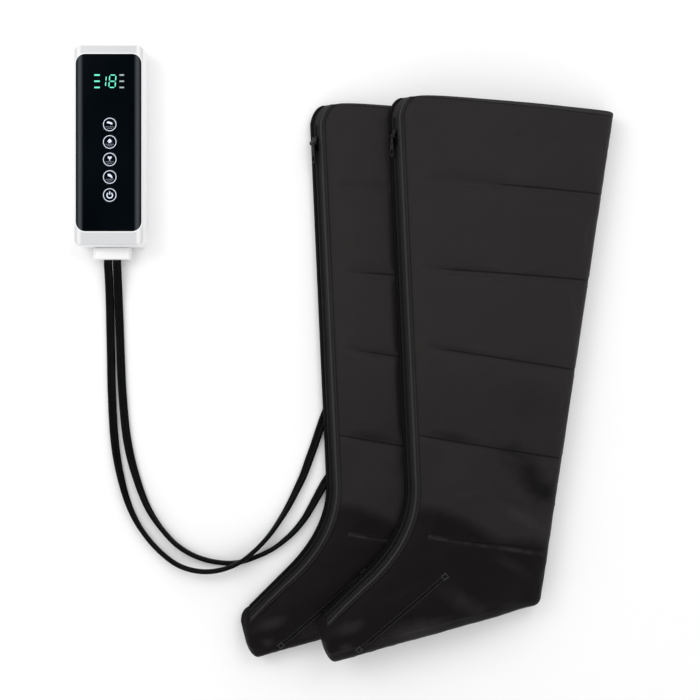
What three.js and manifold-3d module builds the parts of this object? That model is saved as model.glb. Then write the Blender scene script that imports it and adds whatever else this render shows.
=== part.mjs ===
// Air compression leg massager: two soft leg boots, a hand controller and two twin-tube air hoses.
// Units are millimetres. Everything lies on the surface z = 0, with +Z up, +Y along the legs
// towards the boot mouths, and +X to the right when the controller is on the left.
import * as THREE from 'three';
import { mergeVertices } from 'three/addons/utils/BufferGeometryUtils.js';
import Module from 'manifold-3d';

const wasm = await Module();
wasm.setup();

// Clearances
const GAP = 0.3;
const LAYER_GAP = 0.4;

// Edges shorter than this are merged after a cut or a join
const MERGE = 0.002;

// Boot pattern, flat on its side: back line, sole line and front edge
const BACK_LENGTH = 573;
const MOUTH_WIDTH = 256;
const MOUTH_CORNER_DROP = 43;
const MOUTH_CORNER_INSET = 21;
const MOUTH_FRONT_DROP = 15.5;
const ANKLE_HEIGHT = 115;
const ANKLE_WIDTH = 174.6;
const SOLE_LENGTH = 245;
const SOLE_ANGLE = 114;
const HEEL_RADIUS = 13;
const INSTEP_HEIGHT = 90.5;
const INSTEP_SETBACK = 61;
const TOE_HEIGHT = 58.5;
const TOE_SETBACK = 4;

// Round nose past the sole's end: [distance past it, height] at the sole and at the top, and fullness
const TOE_NOSE = [[[4.5, 10], [7, 50], 0.75], [[9.5, 24], [10.5, 42], 0.35]];

// Boot section and its layers, from outside in
const BOOT_THICKNESS = 34;
const COVER_WALL = 2.5;
const BLADDER_WALL = 3;
const LINING_WALL = 1.5;
const FOLD_DEPTH = 12;
const SEAM_DEPTH = 2;
const SEAM_HALF_WIDTH = 10;
const SEAM_HEIGHTS = [472, 371, 274, 172];
const THIGH_CALF_GAP = 16;

// Slanted front face with its bindings and zipper
const FACE_RUN = 13;
const FACE_TOP_DROP = 10;
const FACE_BOTTOM_RISE = 8;
const SHOULDER_RUN = 19;
const UNDERCUT = 8;
const LIFTED_UNDERCUT = 24;
const BINDING_WIDTH = 4.8;
const BINDING_THICKNESS = 1.6;
const ZIP_WIDTH = 10;
const ZIP_SLOT = 1.6;
const TAPE_THICKNESS = 1;
const COIL_WIDTH = 1.3;
const COIL_HEIGHT = 2.1;
const MOUTH_BINDING_WIDTH = 5.7;
const CORNER_SETBACK = 25;

// Slider and pull tab
const SLIDER_LENGTH = 16;
const SLIDER_PLATE = 1.5;
const SLIDER_INNER_WIDTH = 8.2;
const SLIDER_NECK = 0.9;
const SLIDER_START = 15;
const PULL_LENGTH = 24;
const PULL_WIDTH = 6;
const PULL_THICKNESS = 1.4;
const PULL_PIN_RADIUS = 0.8;

// How the boots lie: the right boot is on the left one and drapes to the floor past its back fold
const LEAN = 81.46;
const RIGHT_HEEL = [228.1, -290.5];
const LEFT_OFFSET = [-91, -2.3];
const PILE_GAP = 0.6;
const DRAPE_RUN = 60;
const HOSE_TUNNEL = 8;

// Hose inlets: height up the back line, and distance in from the front edge or from the back fold
const LEFT_INLET = [231, 18];
const LEFT_INLET_TURN = -15;
const RIGHT_INLET = [151.6, 67.3];
const INLET_LENGTH = 26;
const INLET_WIDTH = 16;
const INLET_HEIGHT = 7.2;
const FLOOR_GAP = 0.4;

// Controller
const CONTROLLER_CENTRE = [-271.9, 240.8];
const CASE_WIDTH = 82.4;
const CASE_LENGTH = 234.6;
const CASE_DEPTH = 38;
const CASE_CORNER = 8;
const CASE_WALL = 2.2;
const PARTING = 22;
const PLATE_WIDTH = 76;
const PLATE_LENGTH = 205.6;
const PLATE_OFFSET = 2.9;
const PLATE_CORNER = 11;
const PLATE_FLOOR = 35.2;
const PLATE_PROUD = 0.4;
const DECK_THICKNESS = 2.2;

// Keys from the display end to the hose end, as distances from the controller's middle
const KEYS = [
  ['foot_key', 23.8], ['heat_key', 3.5], ['intensity_key', -16.8], ['mode_key', -37.2], ['power_key', -58.1],
];
const KEY_OFFSET = 1.5;
const KEY_RADIUS = 8.4;
const KEY_GAP = 0.35;
const KEY_TRAVEL = 0.5;
const KEY_PROUD = 0.2;
const KEY_STEM_RADIUS = 2.5;
const STEM_CLEAR = 0.5;
const DISPLAY_INSET = [39.7, 43.3];
const DISPLAY_SIZE = [34, 24];
const DISPLAY_RIM = 2;
const CORNER_STEPS = 4;
const ROUND_SIDES = 16;

// Inside the controller
const BOARD_INSET = [12.2, 37.3];
const BOARD_UNDERSIDE = 25;
const BOARD_THICKNESS = 1.6;
const SWITCH_SIZE = 6;
const SWITCH_HEIGHT = 3;
const POST_INSET = [10.2, 15.3];
const POST_RADIUS = 4;
const SCREW_RADIUS = 1.5;
const SCREW_HEAD_RADIUS = 3;
const SCREW_LENGTH = 26;
const BOARD_POST_INSET = [11.7, 61.3];
const CELL_RADIUS = 9.2;
const CELL_LENGTH = 66;
const CELL_SETBACK = 28.3;
const MOTOR_RADIUS = 10;
const MOTOR_LENGTH = 30;
const MOTOR_OFFSET = -14;
const MOTOR_SETBACK = 1;
const SHAFT_RADIUS = 1.5;
const CRANK_RADIUS = 6.5;
const CRANK_THICKNESS = 4;
const CRANK_THROW = 4;
const CRANK_PIN_RADIUS = 1.2;
const CRANK_PIN_LENGTH = 2.4;
const PUMP_HEAD_SIZE = [24, 26, 20];
const MANIFOLD_SIZE = [52, 10, 12];
const MANIFOLD_SETBACK = 16;
const VALVE_SIZE = [12, 18, 12];
const VALVE_PITCH = 15;
const PLUNGER_RADIUS = 2;
const PLUNGER_LENGTH = 12;
const PLUNGER_PROUD = 2;
const PLUNGER_TRAVEL = 0.8;
const PORT_SIZE = [9, 9, 3.4];

// Gland and hoses: each hose is two tubes side by side
const GLAND_SIZE = [45.3, 14, 12.6];
const GLAND_HEIGHT = 12.9;
const GLAND_CORNER = 5;
const TONGUE_SIZE = [35.9, 9];
const FLANGE_SIZE = [40.9, 2.2, 12];
const HOSE_WIDTH = 10;
const HOSE_THICKNESS = 5.2;
const HOSE_STEPS = 56;

// Hose routes as [x, y, z, roll in degrees], from the gland to the boot; a roll of 90 stands it on edge
const LEFT_HOSE_ROUTE = [
  [-277.2, 108.9, 12.9, 0], [-277.2, 102.8, 12.8, 0], [-277, 88.8, 9.2, 0], [-276.8, 62.2, 4.2, 0],
  [-276.4, 31.3, 2.9, 0], [-275.7, 0.4, 2.9, 0], [-274.5, -51.9, 2.9, 0], [-271.1, -105.3, 3.7, 20],
  [-264.6, -144.5, 4.7, 50], [-252.7, -184.8, 5.2, 75], [-237.2, -213.3, 5.3, 90],
  [-215.9, -237.6, 5.6, 90], [-192.9, -253.1, 9.2, 90], [-166.2, -258.7, 14.6, 90],
  [-142.4, -255.9, 17.4, 90], [-120.1, -246.8, 16.4, 90], [-103.3, -233.9, 11.6, 90],
  [-87, -216.7, 7, 85], [-74.6, -199, 5.2, 75], [-63.9, -181.2, 5, 60], [-55, -163.5, 4.6, 45],
  [-46.7, -145.7, 4.1, 30], [-40.2, -127.9, 3.5, 15], [-33.7, -110.1, 3.1, 5],
  [-27.8, -92.3, 2.9, 0], [-21.4, -74, 2.9, 0], [-14.1, -56.6, 2.9, 0], [-5.7, -37.6, 2.9, 0],
];
const RIGHT_HOSE_ROUTE = [
  [-266.6, 108.9, 12.9, 0], [-266.6, 102.8, 12.8, 0], [-266.6, 88.8, 9.2, 0], [-266.4, 62.2, 4.2, 0],
  [-265.4, 31.3, 2.9, 0], [-264.3, 0.4, 2.9, 0], [-261.8, -51.9, 2.9, 0], [-256.1, -105.4, 3.5, 15],
  [-246.6, -144.5, 4.6, 45], [-231.3, -184.8, 5.2, 70], [-214.1, -210.9, 5.3, 90],
  [-195.7, -229.9, 5.3, 90], [-173.1, -242.9, 5.3, 90], [-147, -249.5, 5.3, 90],
  [-124.5, -249.5, 5.3, 90], [-103.1, -242.9, 5.3, 90], [-82.3, -232.8, 5.3, 90],
  [-60.9, -215.6, 5.2, 75], [-46.7, -199, 5, 60], [-36, -181.3, 4.4, 40],
  [-27.2, -165.4, 3.7, 20], [-20, -152.9, 3.1, 5], [-11.7, -141.7, 2.9, 0], [-1, -132.2, 2.9, 0],
  [14.4, -125.6, 2.9, 0], [38.2, -122.2, 2.9, 0], [73.9, -120.7, 2.9, 0], [115.5, -120.7, 2.9, 0],
  [153.6, -125.2, 2.9, 0], [169.6, -127.5, 2.9, 0], [183.9, -129.7, 2.9, 0],
];

// Worked-out sizes
const RAD = Math.PI / 180;
const PILE_HEIGHT = BOOT_THICKNESS + PILE_GAP;
const BLADDER_DEPTH = COVER_WALL + LAYER_GAP;
const LINING_DEPTH = BLADDER_DEPTH + BLADDER_WALL + LAYER_GAP;
const CAVITY_DEPTH = LINING_DEPTH + LINING_WALL;

const finish = (color, roughness, metalness = 0) =>
  new THREE.MeshStandardMaterial({ color, roughness, metalness });
const FINISHES = {
  cover: finish(0x242322, 0.55),
  lining: finish(0x34343a, 0.9),
  bladder: finish(0x6d7278, 0.5),
  binding: finish(0x3a3c3a, 0.7),
  zipper: finish(0x141416, 0.6),
  slider: finish(0xb9bbbd, 0.3, 0.9),
  rubber: finish(0x161616, 0.75),
  white: finish(0xf1eff0, 0.4),
  grey: finish(0xdadada, 0.45),
  gloss: finish(0x0b0d11, 0.12),
  key: finish(0x12141a, 0.25),
  board: finish(0x1c5c38, 0.5),
  cell: finish(0x3d6fa8, 0.5),
  steel: finish(0xa9acb0, 0.35, 0.9),
  dark: finish(0x2b2d31, 0.6),
};

const massager = new THREE.Group();

function addPiece(parent, name, geometry, material) {
  const mesh = new THREE.Mesh(geometry, material);
  mesh.name = name;
  parent.add(mesh);
  return mesh;
}

function toSolid(geometry) {
  const bare = geometry.clone();
  bare.deleteAttribute('normal');
  bare.deleteAttribute('uv');
  const merged = mergeVertices(bare, 1e-4);
  return new wasm.Manifold(new wasm.Mesh({
    numProp: 3,
    vertProperties: Float32Array.from(merged.attributes.position.array),
    triVerts: Uint32Array.from(merged.index.array),
  }));
}

function toGeometry(solid) {
  const mesh = solid.simplify(MERGE).getMesh();
  const geometry = new THREE.BufferGeometry();
  geometry.setAttribute('position', new THREE.BufferAttribute(mesh.vertProperties, 3));
  geometry.setIndex(new THREE.BufferAttribute(mesh.triVerts, 1));
  return geometry;
}

const cut = (body, ...tools) =>
  toGeometry(tools.reduce((left, tool) => left.subtract(toSolid(tool)), toSolid(body)));
const join = (body, ...others) =>
  toGeometry(others.reduce((whole, other) => whole.add(toSolid(other)), toSolid(body)));

function meshOf(positions, index) {
  const geometry = new THREE.BufferGeometry();
  geometry.setAttribute('position', new THREE.Float32BufferAttribute(positions, 3));
  const at = (i) => new THREE.Vector3(...positions.slice(3 * i, 3 * i + 3));
  let volume = 0;
  for (let i = 0; i < index.length; i += 3) {
    volume += at(index[i]).dot(at(index[i + 1]).cross(at(index[i + 2])));
  }
  if (volume < 0) index.reverse();
  geometry.setIndex(index);
  return geometry;
}

// A ring holds its points in space and the same points flat in its own plane. These are the
// triangles of a flat end, turning the same way as the ring's points. A boot section, whose lower
// points lie opposite its upper ones, is filled with rungs between them.
function endTriangles(ring, first) {
  if (ring.rungs) return rungTriangles(ring.space.length).map((point) => first + point);
  const turn = Math.sign(THREE.ShapeUtils.area(ring.plane));
  return THREE.ShapeUtils.triangulateShape(ring.plane, []).flatMap(([i, j, k]) => {
    const corner = [ring.plane[i], ring.plane[j], ring.plane[k]];
    const ordered = Math.sign(THREE.ShapeUtils.area(corner)) === turn ? [i, j, k] : [i, k, j];
    return ordered.map((point) => first + point);
  });
}

function rungTriangles(count) {
  const half = count / 2;
  const index = [0, 1, count - 1, half - 1, half, half + 1];
  for (let i = 1; i < half - 1; i += 1) {
    index.push(i, i + 1, count - i - 1, i, count - i - 1, count - i);
  }
  return index;
}

function sideTriangles(rings, first, inward) {
  const count = rings[0].space.length;
  const index = [];
  for (let r = 0; r + 1 < rings.length; r += 1) {
    for (let i = 0; i < count; i += 1) {
      const a = first + r * count + i;
      const b = first + r * count + ((i + 1) % count);
      const c = a + count;
      const d = b + count;
      index.push(...(inward ? [a, b, c, b, d, c] : [a, c, b, b, c, d]));
    }
  }
  return index;
}

const spaceValues = (rings) => rings.flatMap((ring) => ring.space.flatMap((p) => [p.x, p.y, p.z]));

// A closed body through a row of rings
function loft(rings) {
  const last = (rings.length - 1) * rings[0].space.length;
  const end = endTriangles(rings.at(-1), last).reverse();
  const sides = sideTriangles(rings, 0, false);
  return meshOf(spaceValues(rings), [...sides, ...endTriangles(rings[0], 0), ...end]);
}

// A hollow body that is open at its first ring, and at its last one too where it is a sleeve
function hollowLoft(outer, inner, sleeve) {
  const count = outer[0].space.length;
  const innerFirst = outer.length * count;
  const outerLast = innerFirst - count;
  const innerLast = innerFirst + (inner.length - 1) * count;
  const index = [...sideTriangles(outer, 0, false), ...sideTriangles(inner, innerFirst, true)];
  for (let i = 0; i < count; i += 1) {
    const j = (i + 1) % count;
    index.push(i, j, innerFirst + j, i, innerFirst + j, innerFirst + i);
    if (sleeve) {
      index.push(outerLast + j, outerLast + i, innerLast + i);
      index.push(outerLast + j, innerLast + i, innerLast + j);
    }
  }
  if (!sleeve) {
    index.push(...endTriangles(outer.at(-1), outerLast).reverse());
    index.push(...endTriangles(inner.at(-1), innerLast));
  }
  return meshOf(spaceValues([...outer, ...inner]), index);
}

// Boot pattern: x runs up the back line from the heel, y from the back line to the front edge
const soleDirection = new THREE.Vector2(Math.cos(SOLE_ANGLE * RAD), Math.sin(SOLE_ANGLE * RAD));
const soleNormal = new THREE.Vector2(soleDirection.y, -soleDirection.x);
const flat = (x, y) => new THREE.Vector2(x, y);
const solePoint = (along, height) =>
  soleDirection.clone().multiplyScalar(along).addScaledVector(soleNormal, height);

// The corner in which the lines a-b and c-d meet
function corner(a, b, c, d) {
  const first = b.clone().sub(a);
  const second = d.clone().sub(c);
  return a.clone().addScaledVector(first, c.clone().sub(a).cross(second) / first.cross(second));
}

function curveThrough(start, bend, end) {
  const path = new THREE.Path();
  path.moveTo(start.x, start.y);
  path.quadraticCurveTo(bend.x, bend.y, end.x, end.y);
  return path;
}

const mouthFront = flat(BACK_LENGTH - MOUTH_FRONT_DROP, MOUTH_WIDTH - MOUTH_CORNER_INSET);
const frontTop = flat(BACK_LENGTH - MOUTH_CORNER_DROP, MOUTH_WIDTH);
const ankle = flat(ANKLE_HEIGHT, ANKLE_WIDTH);
const instep = solePoint(SOLE_LENGTH - INSTEP_SETBACK, INSTEP_HEIGHT);
const toeTop = solePoint(SOLE_LENGTH - TOE_SETBACK, TOE_HEIGHT);
const mouthCorner = curveThrough(mouthFront, flat(mouthFront.x - 1.5, MOUTH_WIDTH), frontTop);
const footFront = curveThrough(ankle, corner(frontTop, ankle, toeTop, instep), instep);
footFront.lineTo(toeTop.x, toeTop.y);
const footBack = new THREE.Path();
footBack.moveTo(ANKLE_HEIGHT, 0);
footBack.lineTo(HEEL_RADIUS, 0);
footBack.quadraticCurveTo(0, 0, ...solePoint(HEEL_RADIUS, 0).toArray());
footBack.lineTo(...solePoint(SOLE_LENGTH, 0).toArray());

// Where the left boot lies in the right boot's pattern, and how far the right one reaches past it
const leftShift = flat(...LEFT_OFFSET).rotateAround(flat(0, 0), -LEAN * RAD);
const SMALLEST_REACH = 20;

function reachPastLeft(back, along) {
  const pastBackLine = (leftShift.y - back.y) / Math.max(along.y, 0.2);
  const pastSole = (leftShift.clone().sub(back).dot(soleNormal)) / Math.max(along.dot(soleNormal), 0.2);
  return Math.max(pastBackLine, pastSole, SMALLEST_REACH);
}

function station(back, front, details = {}) {
  const width = back.distanceTo(front);
  const along = front.clone().sub(back).divideScalar(width);
  const faceRun = Math.min(FACE_RUN, 0.28 * width);
  const shoulder = width - faceRun - Math.min(SHOULDER_RUN, 0.17 * width);
  const fold = Math.min(FOLD_DEPTH, 0.2 * width);
  const reach = Math.min(reachPastLeft(back, along), fold + 0.6 * (shoulder - fold));
  const columns = [1, 2, 3, 4].map((step) => fold + ((reach - fold) * step) / 4);
  return { back, front, width, along, faceRun, shoulder, fold, reach, columns, plump: 1, ...details };
}

const frontAt = (height) =>
  frontTop.clone().lerp(ankle, (frontTop.x - height) / (frontTop.x - ankle.x));
const legStation = (height, details) => station(flat(height, 0), frontAt(height), details);

const mouthEnd = station(flat(BACK_LENGTH, 0), mouthFront);
const coverEnd = station(flat(BACK_LENGTH - MOUTH_BINDING_WIDTH - GAP, 0), mouthCorner.getPointAt(0.3));
const bindingEnd = station(
  coverEnd.back.clone().add(flat(GAP, 0)),
  coverEnd.front.clone().add(flat(GAP, 0)),
);
const cornerStation = station(flat(BACK_LENGTH - CORNER_SETBACK, 0), mouthCorner.getPointAt(0.65));
const topStation = legStation(frontTop.x);

// Shares of the back line and of the front edge, from the ankle round the heel to the toe
const FOOT_SHARES = [
  [0.113, 0.12], [0.211, 0.22], [0.287, 0.29], [0.317, 0.31], [0.346, 0.33], [0.456, 0.37],
  [0.597, 0.45], [0.724, 0.56], [0.837, 0.69], [0.93, 0.85], [1, 1],
];
const TUNNEL_TOP = 200;
const PORT_TOP = 270;

function tunnelAt(height) {
  if (height < TUNNEL_TOP) return 'across';
  return height < PORT_TOP ? 'front' : 'none';
}

const legStations = [topStation];
for (const height of SEAM_HEIGHTS) {
  for (const side of [1, 0, -1]) {
    const level = height + side * SEAM_HALF_WIDTH;
    legStations.push(legStation(level, { seam: side === 0, tunnel: tunnelAt(level) }));
  }
}
legStations.push(legStation(ANKLE_HEIGHT, { tunnel: 'across' }));
const footStations = FOOT_SHARES.map(([behind, before], i) =>
  station(footBack.getPointAt(behind), footFront.getPointAt(before), { seam: i === 1 }));
const noseStations = TOE_NOSE.map(([low, high, plump]) =>
  station(solePoint(SOLE_LENGTH + low[0], low[1]), solePoint(SOLE_LENGTH + high[0], high[1]), { plump }));
const liningToe = station(footBack.getPointAt(0.915), footFront.getPointAt(0.82));

// The straight stretches need rings only where the tunnel for the hose begins and ends
const [, , portSeam, lowSeam] = SEAM_HEIGHTS;
const frameLevels = [
  frontTop.x, portSeam, portSeam - SEAM_HALF_WIDTH, lowSeam + SEAM_HALF_WIDTH, ANKLE_HEIGHT,
];
const legFrame = legStations.filter((each) => frameLevels.includes(each.back.x));

// One section of the boot, as [distance from the back fold, height, kept in its column]
function sectionLoop(at, tunnelled, sewn) {
  const { width, faceRun, shoulder, fold, reach, columns } = at;
  const top = BOOT_THICKNESS;
  const lift = tunnelled && at.tunnel === 'across' ? HOSE_TUNNEL : 0;
  const frontLift = tunnelled && at.tunnel && at.tunnel !== 'none' ? HOSE_TUNNEL : 0;
  const valley = sewn && at.seam ? SEAM_DEPTH : 0;
  const middle = (reach + shoulder) / 2;
  const loop = [
    [0, top / 2],
    [0.29 * fold, Math.max(0.15 * top, lift + 2)],
    [fold, lift, true],
    ...columns.map((column) => [column, lift, true]),
    [middle, frontLift, true],
    [shoulder, frontLift, true],
    [width - Math.min(frontLift ? LIFTED_UNDERCUT : UNDERCUT, 0.15 * width), frontLift],
    [width, FACE_BOTTOM_RISE],
    [width - faceRun, top - FACE_TOP_DROP],
    [shoulder, top - 3, true],
    [middle, top - valley, true],
    ...columns.toReversed().map((column) => [column, top - valley, true]),
    [fold, top - 1.5 - valley / 2, true],
    [0.29 * fold, 0.82 * top],
  ];
  return loop.map(([along, height, kept]) =>
    ({ along, height: top / 2 + (height - top / 2) * at.plump, kept }));
}

// The loop moved inwards by a depth; kept points stay in their columns
function insetLoop(loop, depth) {
  return loop.map((point, i) => {
    const before = loop.at(i - 1);
    const after = loop[(i + 1) % loop.length];
    const edges = [[before, point], [point, after]].map(([from, to]) => {
      const length = Math.hypot(to.along - from.along, to.height - from.height);
      return flat((from.height - to.height) / length, (to.along - from.along) / length);
    });
    const blend = 1 + edges[0].dot(edges[1]);
    const shift = edges[0].clone().add(edges[1]).multiplyScalar(depth / blend);
    const along = point.kept ? point.along : point.along + shift.x;
    const rise = point.kept ? Math.sign(shift.y) * Math.abs(depth) : shift.y;
    return flat(along, point.height + rise);
  });
}

const ease = (share) => share * share * (3 - 2 * share);

// Height of the draped boot's underside, straight between the section's columns
function restHeight(at, along) {
  const knots = [0, at.fold, ...at.columns];
  const height = (knot) => {
    const past = THREE.MathUtils.clamp((at.reach - knot) / DRAPE_RUN, 0, 1);
    return PILE_HEIGHT * (1 - ease(past));
  };
  const next = knots.findIndex((knot) => knot > along);
  if (next === -1) return PILE_HEIGHT;
  if (next === 0) return height(0);
  const share = (along - knots[next - 1]) / (knots[next] - knots[next - 1]);
  return height(knots[next - 1]) * (1 - share) + height(knots[next]) * share;
}

function bootPoint(at, draped, along, height) {
  const spot = at.back.clone().addScaledVector(at.along, along);
  return new THREE.Vector3(spot.x, spot.y, height + (draped ? restHeight(at, along) : 0));
}

function sectionRing(at, draped, depth) {
  const loop = insetLoop(sectionLoop(at, !draped, depth === 0), depth);
  const space = loop.map((point) => bootPoint(at, draped, point.x, point.y));
  return { space, rungs: true };
}

// The slanted front face: a from its top edge down, b out of it
function frontFace(at, draped) {
  const top = bootPoint(at, draped, at.width - at.faceRun, BOOT_THICKNESS - FACE_TOP_DROP);
  const bottom = bootPoint(at, draped, at.width, FACE_BOTTOM_RISE);
  const down = bottom.clone().sub(top);
  const length = down.length();
  down.divideScalar(length);
  const out = new THREE.Vector3(-down.z * at.along.x, -down.z * at.along.y, Math.hypot(down.x, down.y));
  const point = (a, b) => top.clone().addScaledVector(down, a).addScaledVector(out, b);
  return { length, point, down };
}

// A strip along the front face, with a profile of [a, b] points for each station
function strip(stations, draped, profile) {
  return loft(stations.map((at) => {
    const face = frontFace(at, draped);
    const points = profile(face.length, at);
    return { space: points.map(([a, b]) => face.point(a, b)), plane: points.map(([a, b]) => flat(a, b)) };
  }));
}

const band = (a0, a1, b0, b1) => [[a0, b0], [a1, b0], [a1, b1], [a0, b1]];

// The near binding folds over the edge between the top sheet and the front face
function nearBindingProfile(length, at) {
  const run = at.width - at.faceRun - at.shoulder;
  const fall = FACE_TOP_DROP - 3;
  const sheet = Math.hypot(run, fall);
  const faceHeight = BOOT_THICKNESS - FACE_TOP_DROP - FACE_BOTTOM_RISE;
  const tilt = Math.atan2(faceHeight, at.faceRun) - Math.atan2(fall, run);
  const alongSheet = flat(-Math.cos(tilt), -Math.sin(tilt));
  const offSheet = flat(-Math.sin(tilt), Math.cos(tilt));
  const reach = Math.min(BINDING_WIDTH, sheet);
  const sheetPoint = (along, off) =>
    alongSheet.clone().multiplyScalar(along).addScaledVector(offSheet, off).toArray();
  const outer = GAP + BINDING_THICKNESS;
  const fold = Math.tan(tilt / 2);
  return [
    [BINDING_WIDTH, GAP], [BINDING_WIDTH, outer], [-outer * fold, outer],
    sheetPoint(reach, outer), sheetPoint(reach, GAP), [-GAP * fold, GAP],
  ];
}

const farBindingProfile = (length) =>
  band(length - BINDING_WIDTH, length + 1, GAP, GAP + BINDING_THICKNESS);

function tapeProfile(length, side) {
  const middle = length / 2;
  const edge = ZIP_SLOT / 2;
  const points = [
    [edge, GAP], [edge, GAP + COIL_HEIGHT], [edge + COIL_WIDTH, GAP + COIL_HEIGHT],
    [edge + COIL_WIDTH, GAP + TAPE_THICKNESS], [ZIP_WIDTH / 2, GAP + TAPE_THICKNESS], [ZIP_WIDTH / 2, GAP],
  ];
  return points.map(([a, b]) => [middle + side * a, b]);
}

const box = (x, y, z) => new THREE.BoxGeometry(x[1] - x[0], y[1] - y[0], z[1] - z[0])
  .translate((x[0] + x[1]) / 2, (y[0] + y[1]) / 2, (z[0] + z[1]) / 2);

// The slider's own frame: x down the zipper from its top end, z out of the front face
const sliderTravelLine = new THREE.Vector3(ankle.x - frontTop.x, ankle.y - frontTop.y, 0);
function sliderFrame(draped) {
  const face = frontFace(topStation, draped);
  const x = sliderTravelLine.clone().normalize();
  const z = face.down.clone().cross(x).normalize();
  const y = z.clone().cross(x);
  const origin = face.point(face.length / 2, 0).addScaledVector(x, SLIDER_START);
  return new THREE.Matrix4().makeBasis(x, y, z).setPosition(origin);
}

const SLIDER_FLOOR = GAP + COIL_HEIGHT + LAYER_GAP;
const SLIDER_TOP = SLIDER_FLOOR + SLIDER_PLATE;
const KNUCKLE_RADIUS = PULL_PIN_RADIUS + 0.9;
const PIN_HEIGHT = SLIDER_TOP + GAP + KNUCKLE_RADIUS;
const PIN_SETBACK = 7;
const EAR_GAP = 0.5;
const EAR_WIDTH = 1.2;

const crossPin = (radius, halfWidth) =>
  new THREE.CylinderGeometry(radius, radius, 2 * halfWidth, 16).translate(PIN_SETBACK, 0, PIN_HEIGHT);

function sliderShape() {
  const half = ZIP_WIDTH / 2 - GAP;
  const inner = SLIDER_INNER_WIDTH / 2;
  const neckFloor = -PULL_THICKNESS;
  const ears = PULL_WIDTH / 2 + EAR_GAP;
  const ear = (side) => box(
    [PIN_SETBACK - 2, PIN_SETBACK + 2],
    side > 0 ? [ears, ears + EAR_WIDTH] : [-ears - EAR_WIDTH, -ears],
    [SLIDER_TOP - 0.2, PIN_HEIGHT + 1.6],
  );
  return join(
    box([0, SLIDER_LENGTH], [-half, half], [SLIDER_FLOOR, SLIDER_TOP]),
    box([3, SLIDER_LENGTH - 3], [-SLIDER_NECK / 2, SLIDER_NECK / 2], [neckFloor - 0.1, SLIDER_FLOOR + 0.1]),
    box([1, SLIDER_LENGTH - 1], [-inner, inner], [neckFloor - SLIDER_PLATE, neckFloor]),
    ear(1), ear(-1), crossPin(PULL_PIN_RADIUS, ears + 0.4),
  );
}

function pullShape() {
  const half = PULL_WIDTH / 2;
  const tab = box(
    [PIN_SETBACK, PIN_SETBACK + PULL_LENGTH], [-half, half],
    [PIN_HEIGHT - PULL_THICKNESS / 2, PIN_HEIGHT + PULL_THICKNESS / 2],
  );
  const eye = box(
    [PIN_SETBACK + PULL_LENGTH - 8, PIN_SETBACK + PULL_LENGTH - 3], [-half / 2, half / 2],
    [PIN_HEIGHT - PULL_THICKNESS, PIN_HEIGHT + PULL_THICKNESS],
  );
  return cut(join(tab, crossPin(KNUCKLE_RADIUS, half)), crossPin(PULL_PIN_RADIUS + GAP, half + 1), eye);
}

function makeBoot(side, draped) {
  const boot = new THREE.Group();
  const rings = (stations, depth) => stations.map((at) => sectionRing(at, draped, depth));
  const footTo = (count) => footStations.slice(0, count);
  const add = (name, geometry, material) => addPiece(boot, `${side}_${name}`, geometry, material);

  const shell = hollowLoft(
    rings([coverEnd, cornerStation, ...legStations, ...footStations, ...noseStations], 0),
    rings([coverEnd, cornerStation, ...legFrame, ...footStations], COVER_WALL),
  );
  const slot = strip([...legFrame, ...footTo(10)], draped, (length) =>
    band((length - ZIP_WIDTH) / 2 - GAP, (length + ZIP_WIDTH) / 2 + GAP, -3 * COVER_WALL, 2));
  add('outer_cover', cut(shell, slot), FINISHES.cover);

  add('mouth_binding', hollowLoft(
    rings([mouthEnd, bindingEnd], 0),
    rings([mouthEnd, bindingEnd], CAVITY_DEPTH),
    true,
  ), FINISHES.binding);

  add('inner_lining', hollowLoft(
    rings([coverEnd, cornerStation, ...legFrame, ...footTo(10)], LINING_DEPTH),
    rings([coverEnd, cornerStation, ...legFrame, ...footTo(9), liningToe], CAVITY_DEPTH),
  ), FINISHES.lining);

  const frontGap = strip([coverEnd, cornerStation, ...legFrame, ...footTo(10)], draped, (length) =>
    band(-1, length + 1, -3 * BLADDER_DEPTH, 1));
  const bladders = {
    thigh: [topStation, legStation(portSeam + THIGH_CALF_GAP)],
    calf: [...legFrame.slice(2), ...footTo(1)],
    foot: footStations.slice(2, 9),
  };
  for (const [part, stations] of Object.entries(bladders)) {
    const sleeve = hollowLoft(
      rings(stations, BLADDER_DEPTH),
      rings(stations, BLADDER_DEPTH + BLADDER_WALL),
      true,
    );
    add(`${part}_bladder`, cut(sleeve, frontGap), FINISHES.bladder);
  }

  const edge = [coverEnd, cornerStation, ...legFrame, ...footStations];
  add('near_binding', strip(edge, draped, nearBindingProfile), FINISHES.binding);
  add('far_binding', strip(edge, draped, farBindingProfile), FINISHES.binding);

  const zipLine = [...legFrame, ...footStations];
  const half = (way) => strip(zipLine, draped, (length) => tapeProfile(length, way));
  const stop = strip(footStations.slice(9), draped, (length) =>
    band((length - ZIP_WIDTH) / 2 + 1, (length + ZIP_WIDTH) / 2 - 1, GAP, GAP + COIL_HEIGHT));
  add('zipper', join(half(1), half(-1), stop), FINISHES.zipper);

  const frame = sliderFrame(draped);
  add('zip_slider', sliderShape().applyMatrix4(frame), FINISHES.slider);
  add('zip_pull', pullShape().applyMatrix4(frame), FINISHES.slider);

  boot.rotation.z = LEAN * RAD;
  return boot;
}

const rightBoot = makeBoot('right', true);
rightBoot.position.set(...RIGHT_HEEL, 0);
const leftBoot = makeBoot('left', false);
leftBoot.position.set(RIGHT_HEEL[0] + LEFT_OFFSET[0], RIGHT_HEEL[1] + LEFT_OFFSET[1], 0);
massager.add(rightBoot, leftBoot);

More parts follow.
